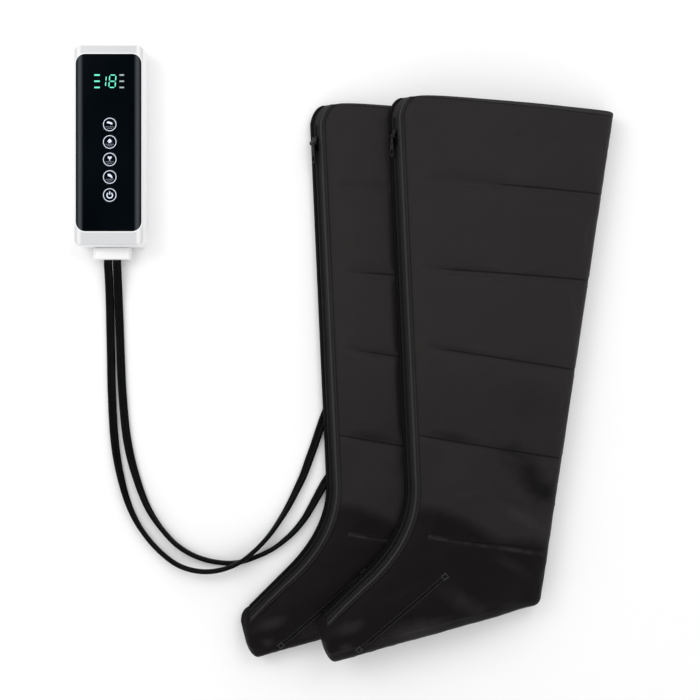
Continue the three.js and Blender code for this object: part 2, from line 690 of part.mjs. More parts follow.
// The left inlet lies under the boot's lifted front edge; the right one under the draped back
const inletBlock = box(
  [GAP, GAP + INLET_LENGTH], [-INLET_WIDTH / 2, INLET_WIDTH / 2], [FLOOR_GAP, FLOOR_GAP + INLET_HEIGHT],
);
const leftInlet = addPiece(leftBoot, 'left_hose_inlet', inletBlock, FINISHES.rubber);
leftInlet.position.set(LEFT_INLET[0], frontAt(LEFT_INLET[0]).y - LEFT_INLET[1], 0);
leftInlet.rotation.z = LEFT_INLET_TURN * RAD;

function rightInletShape() {
  const at = legStation(RIGHT_INLET[0]);
  const mouth = RIGHT_INLET[1];
  const under = (along) => restHeight(at, along) - GAP - FLOOR_GAP;
  const outline = new THREE.Shape();
  outline.moveTo(mouth, FLOOR_GAP);
  outline.lineTo(mouth, FLOOR_GAP + INLET_HEIGHT + 2);
  outline.lineTo(mouth - 8, under(mouth - 8));
  outline.lineTo(at.columns[1], under(at.columns[1]));
  outline.lineTo(mouth - 18, under(mouth - 18));
  outline.lineTo(mouth - 18, FLOOR_GAP);
  const block = new THREE.ExtrudeGeometry(outline, { depth: INLET_WIDTH, bevelEnabled: false });
  return block.translate(0, 0, -INLET_WIDTH / 2).rotateX(Math.PI / 2).rotateZ(Math.PI / 2)
    .translate(RIGHT_INLET[0], 0, 0);
}
addPiece(rightBoot, 'right_hose_inlet', rightInletShape(), FINISHES.rubber);

// Hoses: two tubes side by side, laid as a flat band that turns on edge round the bend
function hoseShape(route) {
  const points = route.map(([x, y, z]) => new THREE.Vector3(x, y, z));
  const curve = new THREE.CatmullRomCurve3(points, false, 'centripetal');
  const half = (HOSE_WIDTH - HOSE_THICKNESS) / 2;
  const rings = [];
  for (let step = 0; step <= HOSE_STEPS; step += 1) {
    const share = curve.getUtoTmapping(step / HOSE_STEPS);
    const centre = curve.getPoint(share);
    const along = curve.getTangent(share);
    const side = new THREE.Vector3(along.y, -along.x, 0).normalize();
    const over = side.clone().cross(along);
    const place = share * (route.length - 1);
    const before = Math.min(Math.floor(place), route.length - 2);
    const roll = THREE.MathUtils.lerp(route[before][3], route[before + 1][3], place - before) * RAD;
    const across = side.clone().multiplyScalar(Math.cos(roll)).addScaledVector(over, Math.sin(roll));
    const through = over.clone().multiplyScalar(Math.cos(roll)).addScaledVector(side, -Math.sin(roll));
    const plane = [1, -1].flatMap((way) => [-90, -30, 30, 90].map((angle) => flat(
      way * (half + (HOSE_THICKNESS / 2) * Math.cos(angle * RAD)),
      way * (HOSE_THICKNESS / 2) * Math.sin(angle * RAD),
    )));
    const space = plane.map((point) =>
      centre.clone().addScaledVector(across, point.x).addScaledVector(through, point.y));
    rings.push({ space, plane });
  }
  return loft(rings);
}
addPiece(massager, 'left_hose', hoseShape(LEFT_HOSE_ROUTE), FINISHES.rubber);
addPiece(massager, 'right_hose', hoseShape(RIGHT_HOSE_ROUTE), FINISHES.rubber);

// Controller, lying on its back: x across it, y along it towards the display end
const controller = new THREE.Group();
controller.position.set(...CONTROLLER_CENTRE, 0);
massager.add(controller);

// A ring with round corners at a height, drawn in from its full width and length
function roundedRing(width, length, radius, inset, z, middle = 0) {
  const r = Math.max(radius - inset, 1);
  const x = width / 2 - inset - r;
  const y = length / 2 - inset - r;
  const plane = [[x, y, 0], [-x, y, 90], [-x, -y, 180], [x, -y, 270]].flatMap(([cx, cy, start]) =>
    Array.from({ length: CORNER_STEPS + 1 }, (_, step) => {
      const angle = (start + (90 * step) / CORNER_STEPS) * RAD;
      return flat(cx + r * Math.cos(angle), cy + middle + r * Math.sin(angle));
    }));
  return { plane, space: plane.map((point) => new THREE.Vector3(point.x, point.y, z)) };
}

const caseRing = (inset, z) => roundedRing(CASE_WIDTH, CASE_LENGTH, CASE_CORNER, inset, z);
const plateRing = (inset, z) =>
  roundedRing(PLATE_WIDTH, PLATE_LENGTH, PLATE_CORNER, inset, z, PLATE_OFFSET);
const rodShape = (radius, length) => new THREE.CylinderGeometry(radius, radius, length, ROUND_SIDES);
const post = (radius, z0, z1, x, y) =>
  rodShape(radius, z1 - z0).rotateX(Math.PI / 2).translate(x, y, (z0 + z1) / 2);
const rod = (radius, y0, y1, x, z) => rodShape(radius, y1 - y0).translate(x, (y0 + y1) / 2, z);
const around = (middle, size) => [middle - size / 2, middle + size / 2];
const corners = ([x, y]) => [[x, y], [-x, y], [x, -y], [-x, -y]];

// Screws, board posts and board, counted from the middle of the case
const insetPlace = ([x, y]) => [CASE_WIDTH / 2 - x, CASE_LENGTH / 2 - y];
const DISPLAY_PLACE = insetPlace(DISPLAY_INSET);
const POST_PLACE = insetPlace(POST_INSET);
const BOARD_POST_PLACE = insetPlace(BOARD_POST_INSET);
const BOARD_SIZE = insetPlace(BOARD_INSET).map((half) => 2 * half);

const FLOOR = CASE_WALL;
const REST = FLOOR + GAP;
const DECK_UNDERSIDE = PLATE_FLOOR - DECK_THICKNESS;
const SCREW_HEAD_HEIGHT = 2;
const SCREW_HEAD_FLOOR = 0.8;
const SCREW_CLEAR = 0.4;
const screwShoulder = SCREW_HEAD_FLOOR + SCREW_HEAD_HEIGHT + GAP;
const screwTop = SCREW_HEAD_FLOOR + SCREW_LENGTH;

// The shell's side is round towards the back; [inset, height]
const REAR_PROFILE = [[8, 0], [4.6, 1.2], [1.9, 4], [0.6, 9], [0, 15], [0, PARTING - GAP / 2]];
const FRONT_PROFILE = [[0, PARTING + GAP / 2], [0, 33], [0.9, 36.4], [2.4, CASE_DEPTH]];

function rearHousing() {
  const [, , [footInset]] = REAR_PROFILE;
  const hollow = loft([
    caseRing(footInset + CASE_WALL + 2, FLOOR),
    ...REAR_PROFILE.slice(2).map(([inset, z]) => caseRing(inset + CASE_WALL, z)),
    caseRing(CASE_WALL, CASE_DEPTH),
  ]);
  const posts = corners(POST_PLACE).map(([x, y]) => post(POST_RADIUS, FLOOR - 0.5, PARTING - GAP, x, y));
  const boardPosts = corners(BOARD_POST_PLACE).map(([x, y]) =>
    post(POST_RADIUS - 1, FLOOR - 0.5, BOARD_UNDERSIDE - GAP, x, y));
  const screwHoles = corners(POST_PLACE).flatMap(([x, y]) => [
    post(SCREW_RADIUS + SCREW_CLEAR, -1, CASE_DEPTH, x, y),
    post(SCREW_HEAD_RADIUS + SCREW_CLEAR, -1, screwShoulder, x, y),
  ]);
  const end = CASE_LENGTH / 2;
  const tongue = box(around(0, TONGUE_SIZE[0] + 2 * GAP), [-end - 2, -end + 8],
    around(GLAND_HEIGHT, TONGUE_SIZE[1] + 2 * GAP));
  const portHole = box(around(0, PORT_SIZE[0] + 2 * GAP), [end - 8, end + 2],
    around(GLAND_HEIGHT, PORT_SIZE[2] + 2 * GAP));
  const shell = cut(loft(REAR_PROFILE.map(([inset, z]) => caseRing(inset, z))), hollow);
  return cut(join(shell, ...posts, ...boardPosts), ...screwHoles, tongue, portHole);
}

function frontHousing() {
  const hollow = loft([caseRing(CASE_WALL, 0), caseRing(CASE_WALL, DECK_UNDERSIDE)]);
  const seat = loft([plateRing(-GAP, PLATE_FLOOR), plateRing(-GAP, CASE_DEPTH + 2)]);
  const posts = corners(POST_PLACE).map(([x, y]) =>
    post(POST_RADIUS, PARTING + GAP, DECK_UNDERSIDE + 0.5, x, y));
  const pilots = corners(POST_PLACE).map(([x, y]) =>
    post(SCREW_RADIUS + SCREW_CLEAR, 0, screwTop + 1, x, y));
  const stemHoles = KEYS.map(([, y]) =>
    post(KEY_STEM_RADIUS + STEM_CLEAR, DECK_UNDERSIDE - 1, CASE_DEPTH, KEY_OFFSET, y));
  const [wx, wy] = DISPLAY_SIZE.map((size) => size / 2 - DISPLAY_RIM);
  const [px, py] = DISPLAY_PLACE;
  const window = box([px - wx, px + wx], [py - wy, py + wy], [DECK_UNDERSIDE - 1, CASE_DEPTH]);
  const shell = cut(loft(FRONT_PROFILE.map(([inset, z]) => caseRing(inset, z))), hollow, seat);
  return cut(join(shell, ...posts), ...pilots, ...stemHoles, window);
}

addPiece(controller, 'rear_housing', rearHousing(), FINISHES.white);
addPiece(controller, 'front_housing', frontHousing(), FINISHES.white);

const plateTop = CASE_DEPTH + PLATE_PROUD;
const PLATE_EDGE = [[0, 1.2], [0.5, 0.4], [1.4, 0]];
const plate = loft([
  plateRing(0, PLATE_FLOOR + GAP),
  ...PLATE_EDGE.map(([inset, drop]) => plateRing(inset, plateTop - drop)),
]);
const keyHoles = KEYS.map(([, y]) =>
  post(KEY_RADIUS + KEY_GAP, PLATE_FLOOR, plateTop + 1, KEY_OFFSET, y));
addPiece(controller, 'face_plate', cut(plate, ...keyHoles), FINISHES.gloss);

const boardTop = BOARD_UNDERSIDE + BOARD_THICKNESS;
const switchTop = boardTop + SWITCH_HEIGHT;
const keyFloor = PLATE_FLOOR + GAP + KEY_TRAVEL;
for (const [name, y] of KEYS) {
  const cap = post(KEY_RADIUS, keyFloor, plateTop + KEY_PROUD, KEY_OFFSET, y);
  const stem = post(KEY_STEM_RADIUS, switchTop + GAP + KEY_TRAVEL, keyFloor + 0.5, KEY_OFFSET, y);
  addPiece(controller, name, join(cap, stem), FINISHES.key);
}

const boardBase = box(around(0, BOARD_SIZE[0]), around(0, BOARD_SIZE[1]), [BOARD_UNDERSIDE, boardTop]);
const switches = KEYS.map(([, y]) =>
  box(around(KEY_OFFSET, SWITCH_SIZE), around(y, SWITCH_SIZE), [boardTop - 0.5, switchTop]));
addPiece(controller, 'control_board', join(boardBase, ...switches), FINISHES.board);

addPiece(controller, 'display_module', box(
  around(DISPLAY_PLACE[0], DISPLAY_SIZE[0]),
  around(DISPLAY_PLACE[1], DISPLAY_SIZE[1]),
  [boardTop + GAP, DECK_UNDERSIDE - GAP],
), FINISHES.dark);

const cellEnd = CASE_LENGTH / 2 - CELL_SETBACK;
const cellStart = cellEnd - CELL_LENGTH;
const cells = [-1, 1].map((side) =>
  rod(CELL_RADIUS, cellStart, cellEnd, side * (CELL_RADIUS - 0.1), REST + CELL_RADIUS));
addPiece(controller, 'battery_pack', join(...cells), FINISHES.cell);

// Pump: motor, crank on its shaft, and the head that the crank drives
const motorX = MOTOR_OFFSET;
const motorEnd = cellStart - MOTOR_SETBACK - MOTOR_LENGTH;
const motorHeight = REST + MOTOR_RADIUS;
const crankEnd = motorEnd - 2 * GAP;
const crankFace = crankEnd - CRANK_THICKNESS;
addPiece(controller, 'pump_motor', join(
  rod(MOTOR_RADIUS, motorEnd, motorEnd + MOTOR_LENGTH, motorX, motorHeight),
  rod(SHAFT_RADIUS, crankFace + 1, motorEnd + 1, motorX, motorHeight),
), FINISHES.steel);
addPiece(controller, 'pump_crank', cut(
  join(
    rod(CRANK_RADIUS, crankFace, crankEnd, motorX, motorHeight),
    rod(CRANK_PIN_RADIUS, crankFace - CRANK_PIN_LENGTH, crankFace + 1, motorX, motorHeight - CRANK_THROW),
  ),
  rod(SHAFT_RADIUS + GAP, crankFace + 1 - GAP, crankEnd + 1, motorX, motorHeight),
), FINISHES.steel);
const headEnd = crankFace - 2 * GAP;
const headHeight = motorHeight + PUMP_HEAD_SIZE[2] / 2;
const crankRecess = CRANK_THROW + CRANK_PIN_RADIUS + 2 * GAP;
addPiece(controller, 'pump_head', cut(
  box(around(motorX, PUMP_HEAD_SIZE[0]), [headEnd - PUMP_HEAD_SIZE[1], headEnd], [REST, headHeight]),
  rod(crankRecess, headEnd - CRANK_PIN_LENGTH - GAP, headEnd + 1, motorX, motorHeight),
), FINISHES.dark);

// Air manifold with its four valves
const endInside = -CASE_LENGTH / 2 + CASE_WALL;
const manifoldEnd = endInside + MANIFOLD_SETBACK;
addPiece(controller, 'valve_manifold', box(
  around(0, MANIFOLD_SIZE[0]), [manifoldEnd, manifoldEnd + MANIFOLD_SIZE[1]], [REST, REST + MANIFOLD_SIZE[2]],
), FINISHES.dark);
const valveStart = manifoldEnd + MANIFOLD_SIZE[1] + GAP;
const valveHeight = REST + VALVE_SIZE[2] / 2;
for (let number = 1; number <= 4; number += 1) {
  const x = (number - 2.5) * VALVE_PITCH;
  const end = valveStart + VALVE_SIZE[1];
  const plungerEnd = end + PLUNGER_PROUD;
  const plungerStart = plungerEnd - PLUNGER_LENGTH;
  const body = box(around(x, VALVE_SIZE[0]), [valveStart, end], [REST, REST + VALVE_SIZE[2]]);
  const bore = rod(PLUNGER_RADIUS + GAP, plungerStart - PLUNGER_TRAVEL - GAP, end + 1, x, valveHeight);
  addPiece(controller, `valve_${number}`, cut(body, bore), FINISHES.steel);
  const plunger = rod(PLUNGER_RADIUS, plungerStart, plungerEnd, x, valveHeight);
  addPiece(controller, `valve_plunger_${number}`, plunger, FINISHES.dark);
}

// Air line over the valves, from the pump head down into the manifold
const lineX = motorX;
const lineHeight = REST + VALVE_SIZE[2] + 3.2;
const lineEnd = manifoldEnd + MANIFOLD_SIZE[1] / 2;
const airLine = new THREE.CurvePath();
const lineStart = new THREE.Vector3(lineX, headEnd - PUMP_HEAD_SIZE[1] - GAP, lineHeight);
const lineTurn = new THREE.Vector3(lineX, lineEnd + 2.6, lineHeight);
const lineDrop = new THREE.Vector3(lineX, lineEnd, REST + MANIFOLD_SIZE[2] + GAP);
airLine.add(new THREE.LineCurve3(lineStart, lineTurn));
airLine.add(new THREE.QuadraticBezierCurve3(lineTurn, new THREE.Vector3(lineX, lineEnd, lineHeight), lineDrop));
const lineSection = new THREE.Shape().absarc(0, 0, 1.6, 0, 2 * Math.PI);
addPiece(controller, 'pump_tube', new THREE.ExtrudeGeometry(lineSection, {
  steps: 10, curveSegments: 4, bevelEnabled: false, extrudePath: airLine,
}), FINISHES.rubber);

// Rear screws, from the back into the front housing's posts
corners(POST_PLACE).forEach(([x, y], i) => {
  const head = post(SCREW_HEAD_RADIUS, SCREW_HEAD_FLOOR, SCREW_HEAD_FLOOR + SCREW_HEAD_HEIGHT, x, y);
  const shank = post(SCREW_RADIUS, SCREW_HEAD_FLOOR + 1, screwTop, x, y);
  addPiece(controller, `rear_screw_${i + 1}`, join(head, shank), FINISHES.steel);
});

// Gland: the neck outside, a tongue through the end wall and a flange behind it
const [neckX, neckY, neckZ] = GLAND_SIZE;
const neckStart = -CASE_LENGTH / 2 - GAP;
const neck = loft([[0, 0], [0, neckY - 1.5], [1, neckY]].map(([inset, along]) =>
  roundedRing(neckX, neckZ, GLAND_CORNER, inset, along)))
  .rotateX(Math.PI / 2).translate(0, neckStart, GLAND_HEIGHT);
const flangeStart = endInside + 1.8;
addPiece(controller, 'hose_gland', join(
  neck,
  box(around(0, TONGUE_SIZE[0]), [neckStart - 1, flangeStart + 1], around(GLAND_HEIGHT, TONGUE_SIZE[1])),
  box(around(0, FLANGE_SIZE[0]), [flangeStart, flangeStart + FLANGE_SIZE[1]],
    around(GLAND_HEIGHT, FLANGE_SIZE[2])),
), FINISHES.white);

const portEnd = CASE_LENGTH / 2 - 1;
const portBody = box(around(0, PORT_SIZE[0]), [portEnd - PORT_SIZE[1], portEnd],
  around(GLAND_HEIGHT, PORT_SIZE[2]));
const portMouth = box(around(0, PORT_SIZE[0] - 1.6), [portEnd - PORT_SIZE[1] + 3, portEnd + 1],
  around(GLAND_HEIGHT, PORT_SIZE[2] - 1.4));
addPiece(controller, 'charging_port', cut(portBody, portMouth), FINISHES.steel);

export default massager;
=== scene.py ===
"""Air compression leg massager: two soft boots, a hand controller and two twin-tube air hoses.

Run as a script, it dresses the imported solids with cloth, seams, glossy plastic and prints.
"""

import math
from types import SimpleNamespace

import bmesh
import bpy
import numpy as np
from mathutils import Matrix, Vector, noise
from mathutils.bvhtree import BVHTree


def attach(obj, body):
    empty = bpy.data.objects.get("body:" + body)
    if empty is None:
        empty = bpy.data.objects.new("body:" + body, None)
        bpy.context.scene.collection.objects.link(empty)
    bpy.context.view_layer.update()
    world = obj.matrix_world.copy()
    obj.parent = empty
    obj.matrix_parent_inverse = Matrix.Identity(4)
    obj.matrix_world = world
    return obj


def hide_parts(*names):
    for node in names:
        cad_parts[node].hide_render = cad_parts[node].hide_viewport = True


bl_info = {
    "name": "Air Compression Leg Massager",
    "version": (1, 0, 0),
    "blender": (4, 5, 0),
    "location": "View3D > Sidebar > Massager",
    "description": "Builds a leg massager set from its boots, hoses and hand controller",
    "category": "Object",
}

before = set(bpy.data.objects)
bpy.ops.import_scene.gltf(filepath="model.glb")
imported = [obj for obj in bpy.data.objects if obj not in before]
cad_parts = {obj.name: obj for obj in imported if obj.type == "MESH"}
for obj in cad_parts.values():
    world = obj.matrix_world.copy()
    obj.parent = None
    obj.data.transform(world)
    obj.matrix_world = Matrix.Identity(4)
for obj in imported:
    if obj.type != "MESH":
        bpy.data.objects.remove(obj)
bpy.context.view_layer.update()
MM = 0.001
SIDES = ("left", "right")

# Boot pattern in millimetres: x runs up the back line from the heel, y towards the front edge
BACK_LENGTH = 573.0
MOUTH_WIDTH = 256.0
MOUTH_FRONT = (557.5, 235.0)
FRONT_TOP = (530.0, 256.0)
ANKLE = (115.0, 174.6)
SOLE_LENGTH = 245.0
SOLE_ANGLE = math.radians(114)
HEEL_RADIUS = 8.0
INSTEP = (184.0, 90.5)
TOE_TOP = (241.0, 58.5)

# Boot section: its outer form, and its layers as depths under the cover's outer face
BOOT_THICKNESS = 34.0
FOLD_DEPTH = 12.0
SHOULDER_RUN = 19.0
SHOULDER_DROP = 3.0
FACE_RUN = 13.0
FACE_BOTTOM_RISE = 8.0
FACE_TOP_DROP = 10.0
FACE_SLOPE = BOOT_THICKNESS - FACE_TOP_DROP - FACE_BOTTOM_RISE
CLOTH_THICKNESS = 1.1
BLADDER_DEPTH = 2.9
BLADDER_WALL = 3.0
LINING_DEPTH = 6.3
LINING_WALL = 1.5
GAP = 0.3
HOSE_TUNNEL = 8.0
# Where on the leg the left boot starts to rise over the hose, and over what run: at its front edge, and across
TUNNEL_FRONT = (277, 14)
TUNNEL_ACROSS = (264, 82)
# How far the toe's rounding goes out and closes in, from the end of the sole and of the foot's top line
NOSE_LOW = (9.5, 24)
NOSE_HIGH = (13.5, -16)
NOSE_ROWS = 9

# Tapes along the front edge and round the mouth
BINDING_REACH = 4.8
BINDING_HIGH = 1.9
MOUTH_BINDING = 5.7
TAPE_FROM, TAPE_TO = 0.85, 5.0
TAPE_HIGH = 1.25
TEETH_APART = 1.4
TEETH_HIGH = 1.75
TOOTH_WIDTH, TOOTH_HEIGHT = 1.5, 1.25

# The share of the mouth's corner at which the cover starts, and its height there on the back line
CORNER_START = 0.3
COVER_TOP = BACK_LENGTH - MOUTH_BINDING - GAP
# How far in the mouth's roll lies at each step up its outside, and how far out at each step down its inside
ROLL_OUTSIDE = (0.5, 0, 0, 0, 0, 0, 0, 0.4, 1.6)
ROLL_INSIDE = (1.6, 0.64, 0, 0, 0, 0, 0, 0, 0.6)

# How finely each stretch of the section is drawn, from the back fold round the underside; one is the front face
STRETCHES = (4, 4, 3, 3, 3, 3, 6, 6, 4, 4, 3, 4, 10, 16, 7, 7, 7, 7, 4, 4)
FACE = 10
FACE_START = sum(STRETCHES[:FACE])
FACE_END = FACE_START + STRETCHES[FACE]
COLUMNS = sum(STRETCHES)

# How much the cover moves, folds and swells
DEEPEST_FOLD = 1.7
AIR_FRAMES = 18
MOST_SWELL = 2.4
# How far from the dart and from a seam the cloth is held against the air
DART_HOLD, SEAM_HOLD = 4.0, 4.5
# How far the lowest cloth and the lowest tape of the mouth stay above the floor
CLOTH_LOWEST = 0.2
ROLL_LOWEST = 0.15

# How the boots lie
LEAN = math.radians(81.46)
LEAN_COS, LEAN_SIN = math.cos(LEAN), math.sin(LEAN)
HEELS = {"right": Vector((228.1, -290.5)), "left": Vector((137.1, -292.8))}
PILE_HEIGHT = 34.6
DRAPE_RUN = 60.0
# The top sheet sinks more gently: how far before the edge it starts, over what run, and from what height up
SAG_BEFORE, SAG_RUN = 18, 118
SHEET_FROM, SHEET_BLEND = 10, 16
DRAPE_SPREAD = 0.0175
SPREAD_MIDDLE = np.array((257.5, 260.7))

# Sewn seams as heights at the back fold and at a line beyond the front edge; the foot's dart by its ends
LEG_SEAMS = [(477.2, 460.2), (377.3, 358.6), (273.2, 274.8), (170.3, 174.2)]
ANKLE_SEAM = (65.5, 57.0)
FRONT_LINE = 250
DART = ((18.7, 115.6), (-80.0, 199.6))
SEAM_REACH = 195.0
SEAM_FADE = 45
# How far across each seam's drawn line shows
SEAM_SHADES = [132, 184, 174, 192, 150]
# Widths of the grooves and of the dips round them, and of the puffs that stand at a distance beside the seams
SEAM_GROOVE, SEAM_DIP = 1.5, 8.0
DART_GROOVE, DART_DIP = 2.2, 7.0
PUFF_AWAY, PUFF_WIDTH = 16, 9.0
# Stitches: where they begin, how far they run along the seams of leg and foot, and how far beside them
STITCHED_ANKLE = (65.5, 59.0)
STITCHES_FROM = 9.0
STITCHES_TO = {"leg": 165.0, "foot": 128.0}
SEAM_BESIDE = 2.6
DART_BESIDE = 1.9
DART_SQUARES = (2.4, 3.1)
# Where the thigh bladder ends and the calf bladder begins, as heights at the back fold
THIGH_END = 290
CALF_START = 273.3

# Shares of the way along the foot's back and front lines at which its rows lie
FOOT_SHARES = [
    (0, 0), (0.113, 0.12), (0.211, 0.22), (0.287, 0.29), (0.346, 0.33), (0.456, 0.37),
    (0.597, 0.45), (0.724, 0.56), (0.837, 0.69), (0.93, 0.85), (1, 1),
]

# Controller in millimetres, lying on its back
CASE_CENTRE = Vector((-271.9, 240.8, 0))
CASE_SIZE = (82.4, 234.6, 38.0)
CASE_CORNER = 8.0
CORNER_STEPS = 14
CASE_WALL = 2.2
# How far the rear half's side draws in, by height
CASE_SIDE = ((1.9, 4), (0.6, 9), (0, 15))
PARTING = 22.0
PLATE_SIZE = (76.0, 205.6)
PLATE_OFFSET = 2.9
PLATE_CORNER = 11.0
PLATE_FLOOR = 35.2
PLATE_TOP = 38.4
DECK = PLATE_FLOOR - CASE_WALL
SIDE_CURVE = 9.0
SIDE_DROP = 1.3
KEYS = {"foot_key": 23.8, "heat_key": 3.5, "intensity_key": -16.8, "mode_key": -37.2, "power_key": -58.1}
KEY_OFFSET = 1.5
KEY_TOP = 38.6
KEY_HOLE = 8.75
RING_RADIUS = 7.35
DISPLAY_PLACE = (1.5, 74.0)
POST_PLACE = (31.0, 102.0)
BOARD_POSTS = (29.5, 56.0)
POST_RADIUS = 4
BOARD_POST_RADIUS = 3
BOARD_FLOOR = 24.7
SCREW_HOLE = 1.9
PILOT_TOP = 27.8
STEM_HOLE = 3
WINDOW = (15, 10)
GLAND_HEIGHT = 12.9
GLAND_SLOT = (18.25, 4.8)
PORT_HOLE = ((-4.8, 4.8), (10.9, 14.9))

# Hose routes in millimetres as (x, y, z, roll in degrees), from the gland to the boot
ROUTES = {
    "left_hose": [
        (-277.2, 108.9, 12.9, 0), (-277.2, 102.8, 12.8, 0), (-277, 88.8, 9.2, 0), (-276.8, 62.2, 4.2, 0),
        (-276.4, 31.3, 2.9, 0), (-275.7, 0.4, 2.9, 0), (-274.5, -51.9, 2.9, 0), (-271.1, -105.3, 3.7, 20),
        (-264.6, -144.5, 4.7, 50), (-252.7, -184.8, 5.2, 75), (-237.2, -213.3, 5.3, 90), (-215.9, -237.6, 5.6, 90),
        (-192.9, -253.1, 9.2, 90), (-166.2, -258.7, 14.6, 90), (-142.4, -255.9, 17.4, 90),
        (-120.1, -246.8, 16.4, 90), (-103.3, -233.9, 11.6, 90), (-87, -216.7, 7, 85), (-74.6, -199, 5.2, 75),
        (-63.9, -181.2, 5, 60), (-55, -163.5, 4.6, 45), (-46.7, -145.7, 4.1, 30), (-40.2, -127.9, 3.5, 15),
        (-33.7, -110.1, 3.1, 5), (-27.8, -92.3, 2.9, 0), (-21.4, -74, 2.9, 0), (-14.1, -56.6, 2.9, 0),
        (-5.7, -37.6, 2.9, 0),
    ],
    "right_hose": [
        (-266.6, 108.9, 12.9, 0), (-266.6, 102.8, 12.8, 0), (-266.6, 88.8, 9.2, 0), (-266.4, 62.2, 4.2, 0),
        (-265.4, 31.3, 2.9, 0), (-264.3, 0.4, 2.9, 0), (-261.8, -51.9, 2.9, 0), (-256.1, -105.4, 3.5, 15),
        (-246.6, -144.5, 4.6, 45), (-231.3, -184.8, 5.2, 70), (-214.1, -210.9, 5.3, 90), (-195.7, -229.9, 5.3, 90),
        (-173.1, -242.9, 5.3, 90), (-147, -249.5, 5.3, 90), (-124.5, -249.5, 5.3, 90), (-103.1, -242.9, 5.3, 90),
        (-82.3, -232.8, 5.3, 90), (-60.9, -215.6, 5.2, 75), (-46.7, -199, 5, 60), (-36, -181.3, 4.4, 40),
        (-27.2, -165.4, 3.7, 20), (-20, -152.9, 3.1, 5), (-11.7, -141.7, 2.9, 0), (-1, -132.2, 2.9, 0),
        (14.4, -125.6, 2.9, 0), (38.2, -122.2, 2.9, 0), (73.9, -120.7, 2.9, 0), (115.5, -120.7, 2.9, 0),
        (153.6, -125.2, 2.9, 0), (169.6, -127.5, 2.9, 0), (183.9, -129.7, 2.9, 0),
    ],
}
HOSE_WIDTH = 10.0
HOSE_THICKNESS = 5.2
HOSE_STEPS = 420
TUBE_SIDES = 11
WEB_DIP = math.radians(38)

# Floor, light and camera, in metres
FLOOR_HALF = 30.0
FLOOR_DEPTH = -0.0006
LAMPS = {
    "left_light": ((-1.15, 0.7, 1.6), 8.0, (1.0, 0.99, 0.975)),
    "right_light": ((0.7, 0.9, 1.7), 6.0, (0.985, 0.99, 1.0)),
}
SKY_STRENGTH = 0.88
CAMERA_PLACE = (0.0085, 0.0028, 1.5)
CAMERA_LENS = 64.75


class Sizes(bpy.types.PropertyGroup):
    """Sizes of what is sewn, printed and moulded on the set"""

    seam_depth: bpy.props.FloatProperty(
        name="Seam depth", description="How far a sewn seam draws the cover in",
        default=0.0008, min=0, unit="LENGTH")
    wrinkle_height: bpy.props.FloatProperty(
        name="Wrinkle height", description="Height of the cover's soft wrinkles",
        default=0.0011, min=0, unit="LENGTH")
    air_pressure: bpy.props.FloatProperty(
        name="Air pressure", description="How hard the air left in the boots presses outwards",
        default=0.8, min=0)
    fullness: bpy.props.FloatProperty(
        name="Fullness", description="Share by which the cover is cut larger than the flat boot",
        default=0.006, min=0, max=0.2, subtype="FACTOR")
    stitch_pitch: bpy.props.FloatProperty(
        name="Stitch pitch", description="Distance from one stitch to the next",
        default=0.0036, min=0.001, unit="LENGTH")
    tooth_pitch: bpy.props.FloatProperty(
        name="Tooth pitch", description="Distance from one zipper tooth to the next",
        default=0.0026, min=0.001, unit="LENGTH")
    ring_width: bpy.props.FloatProperty(
        name="Ring width", description="Line width of the rings printed on the keys",
        default=0.0008, min=0.0001, unit="LENGTH")


class Colours(bpy.types.PropertyGroup):
    """Main colours of the set"""

    leg_cloth: bpy.props.FloatVectorProperty(
        name="Leg cloth", description="Cover cloth on the legs", subtype="COLOR", size=3,
        default=(0.0185, 0.0162, 0.0163))
    # Darker than the leg cloth: the foot's tone is painted shade
    shaded_foot_cloth: bpy.props.FloatVectorProperty(
        name="Foot cloth", description="Cover cloth on the feet", subtype="COLOR", size=3,
        default=(0.0036, 0.0024, 0.0029))
    binding: bpy.props.FloatVectorProperty(
        name="Binding", description="Binding tape round the edges", subtype="COLOR", size=3,
        default=(0.0165, 0.0155, 0.0160))
    # A grey that paints the shade on the housing's flat ends of white plastic
    case: bpy.props.FloatVectorProperty(
        name="Housing", description="Controller housing", subtype="COLOR", size=3,
        default=(0.595, 0.60, 0.61))
    digits: bpy.props.FloatVectorProperty(
        name="Digits", description="Lit digits and bars", subtype="COLOR", size=3,
        default=(0.10, 0.60, 0.41))


# Node trees
class Wire:
    """A node's output, from which sums, products and ramps can be drawn."""

    def __init__(self, tree, socket):
        self.tree, self.socket = tree, socket

    def math(self, operation, *others):
        return self.tree.out("ShaderNodeMath", 0, dict(enumerate((self, *others))), operation=operation)

    def __add__(self, other):
        return self.math("ADD", other)

    def __sub__(self, other):
        return self.math("SUBTRACT", other)

    def __mul__(self, other):
        return self.math("MULTIPLY", other)

    def __truediv__(self, other):
        return self.math("DIVIDE", other)

    def ramp(self, low, high, start=0.0, end=1.0):
        """The value spread from start to end as it goes from low to high."""
        return self.tree.out(
            "ShaderNodeMapRange", 0, {0: self, 1: low, 2: high, 3: start, 4: end}, clamp=True)


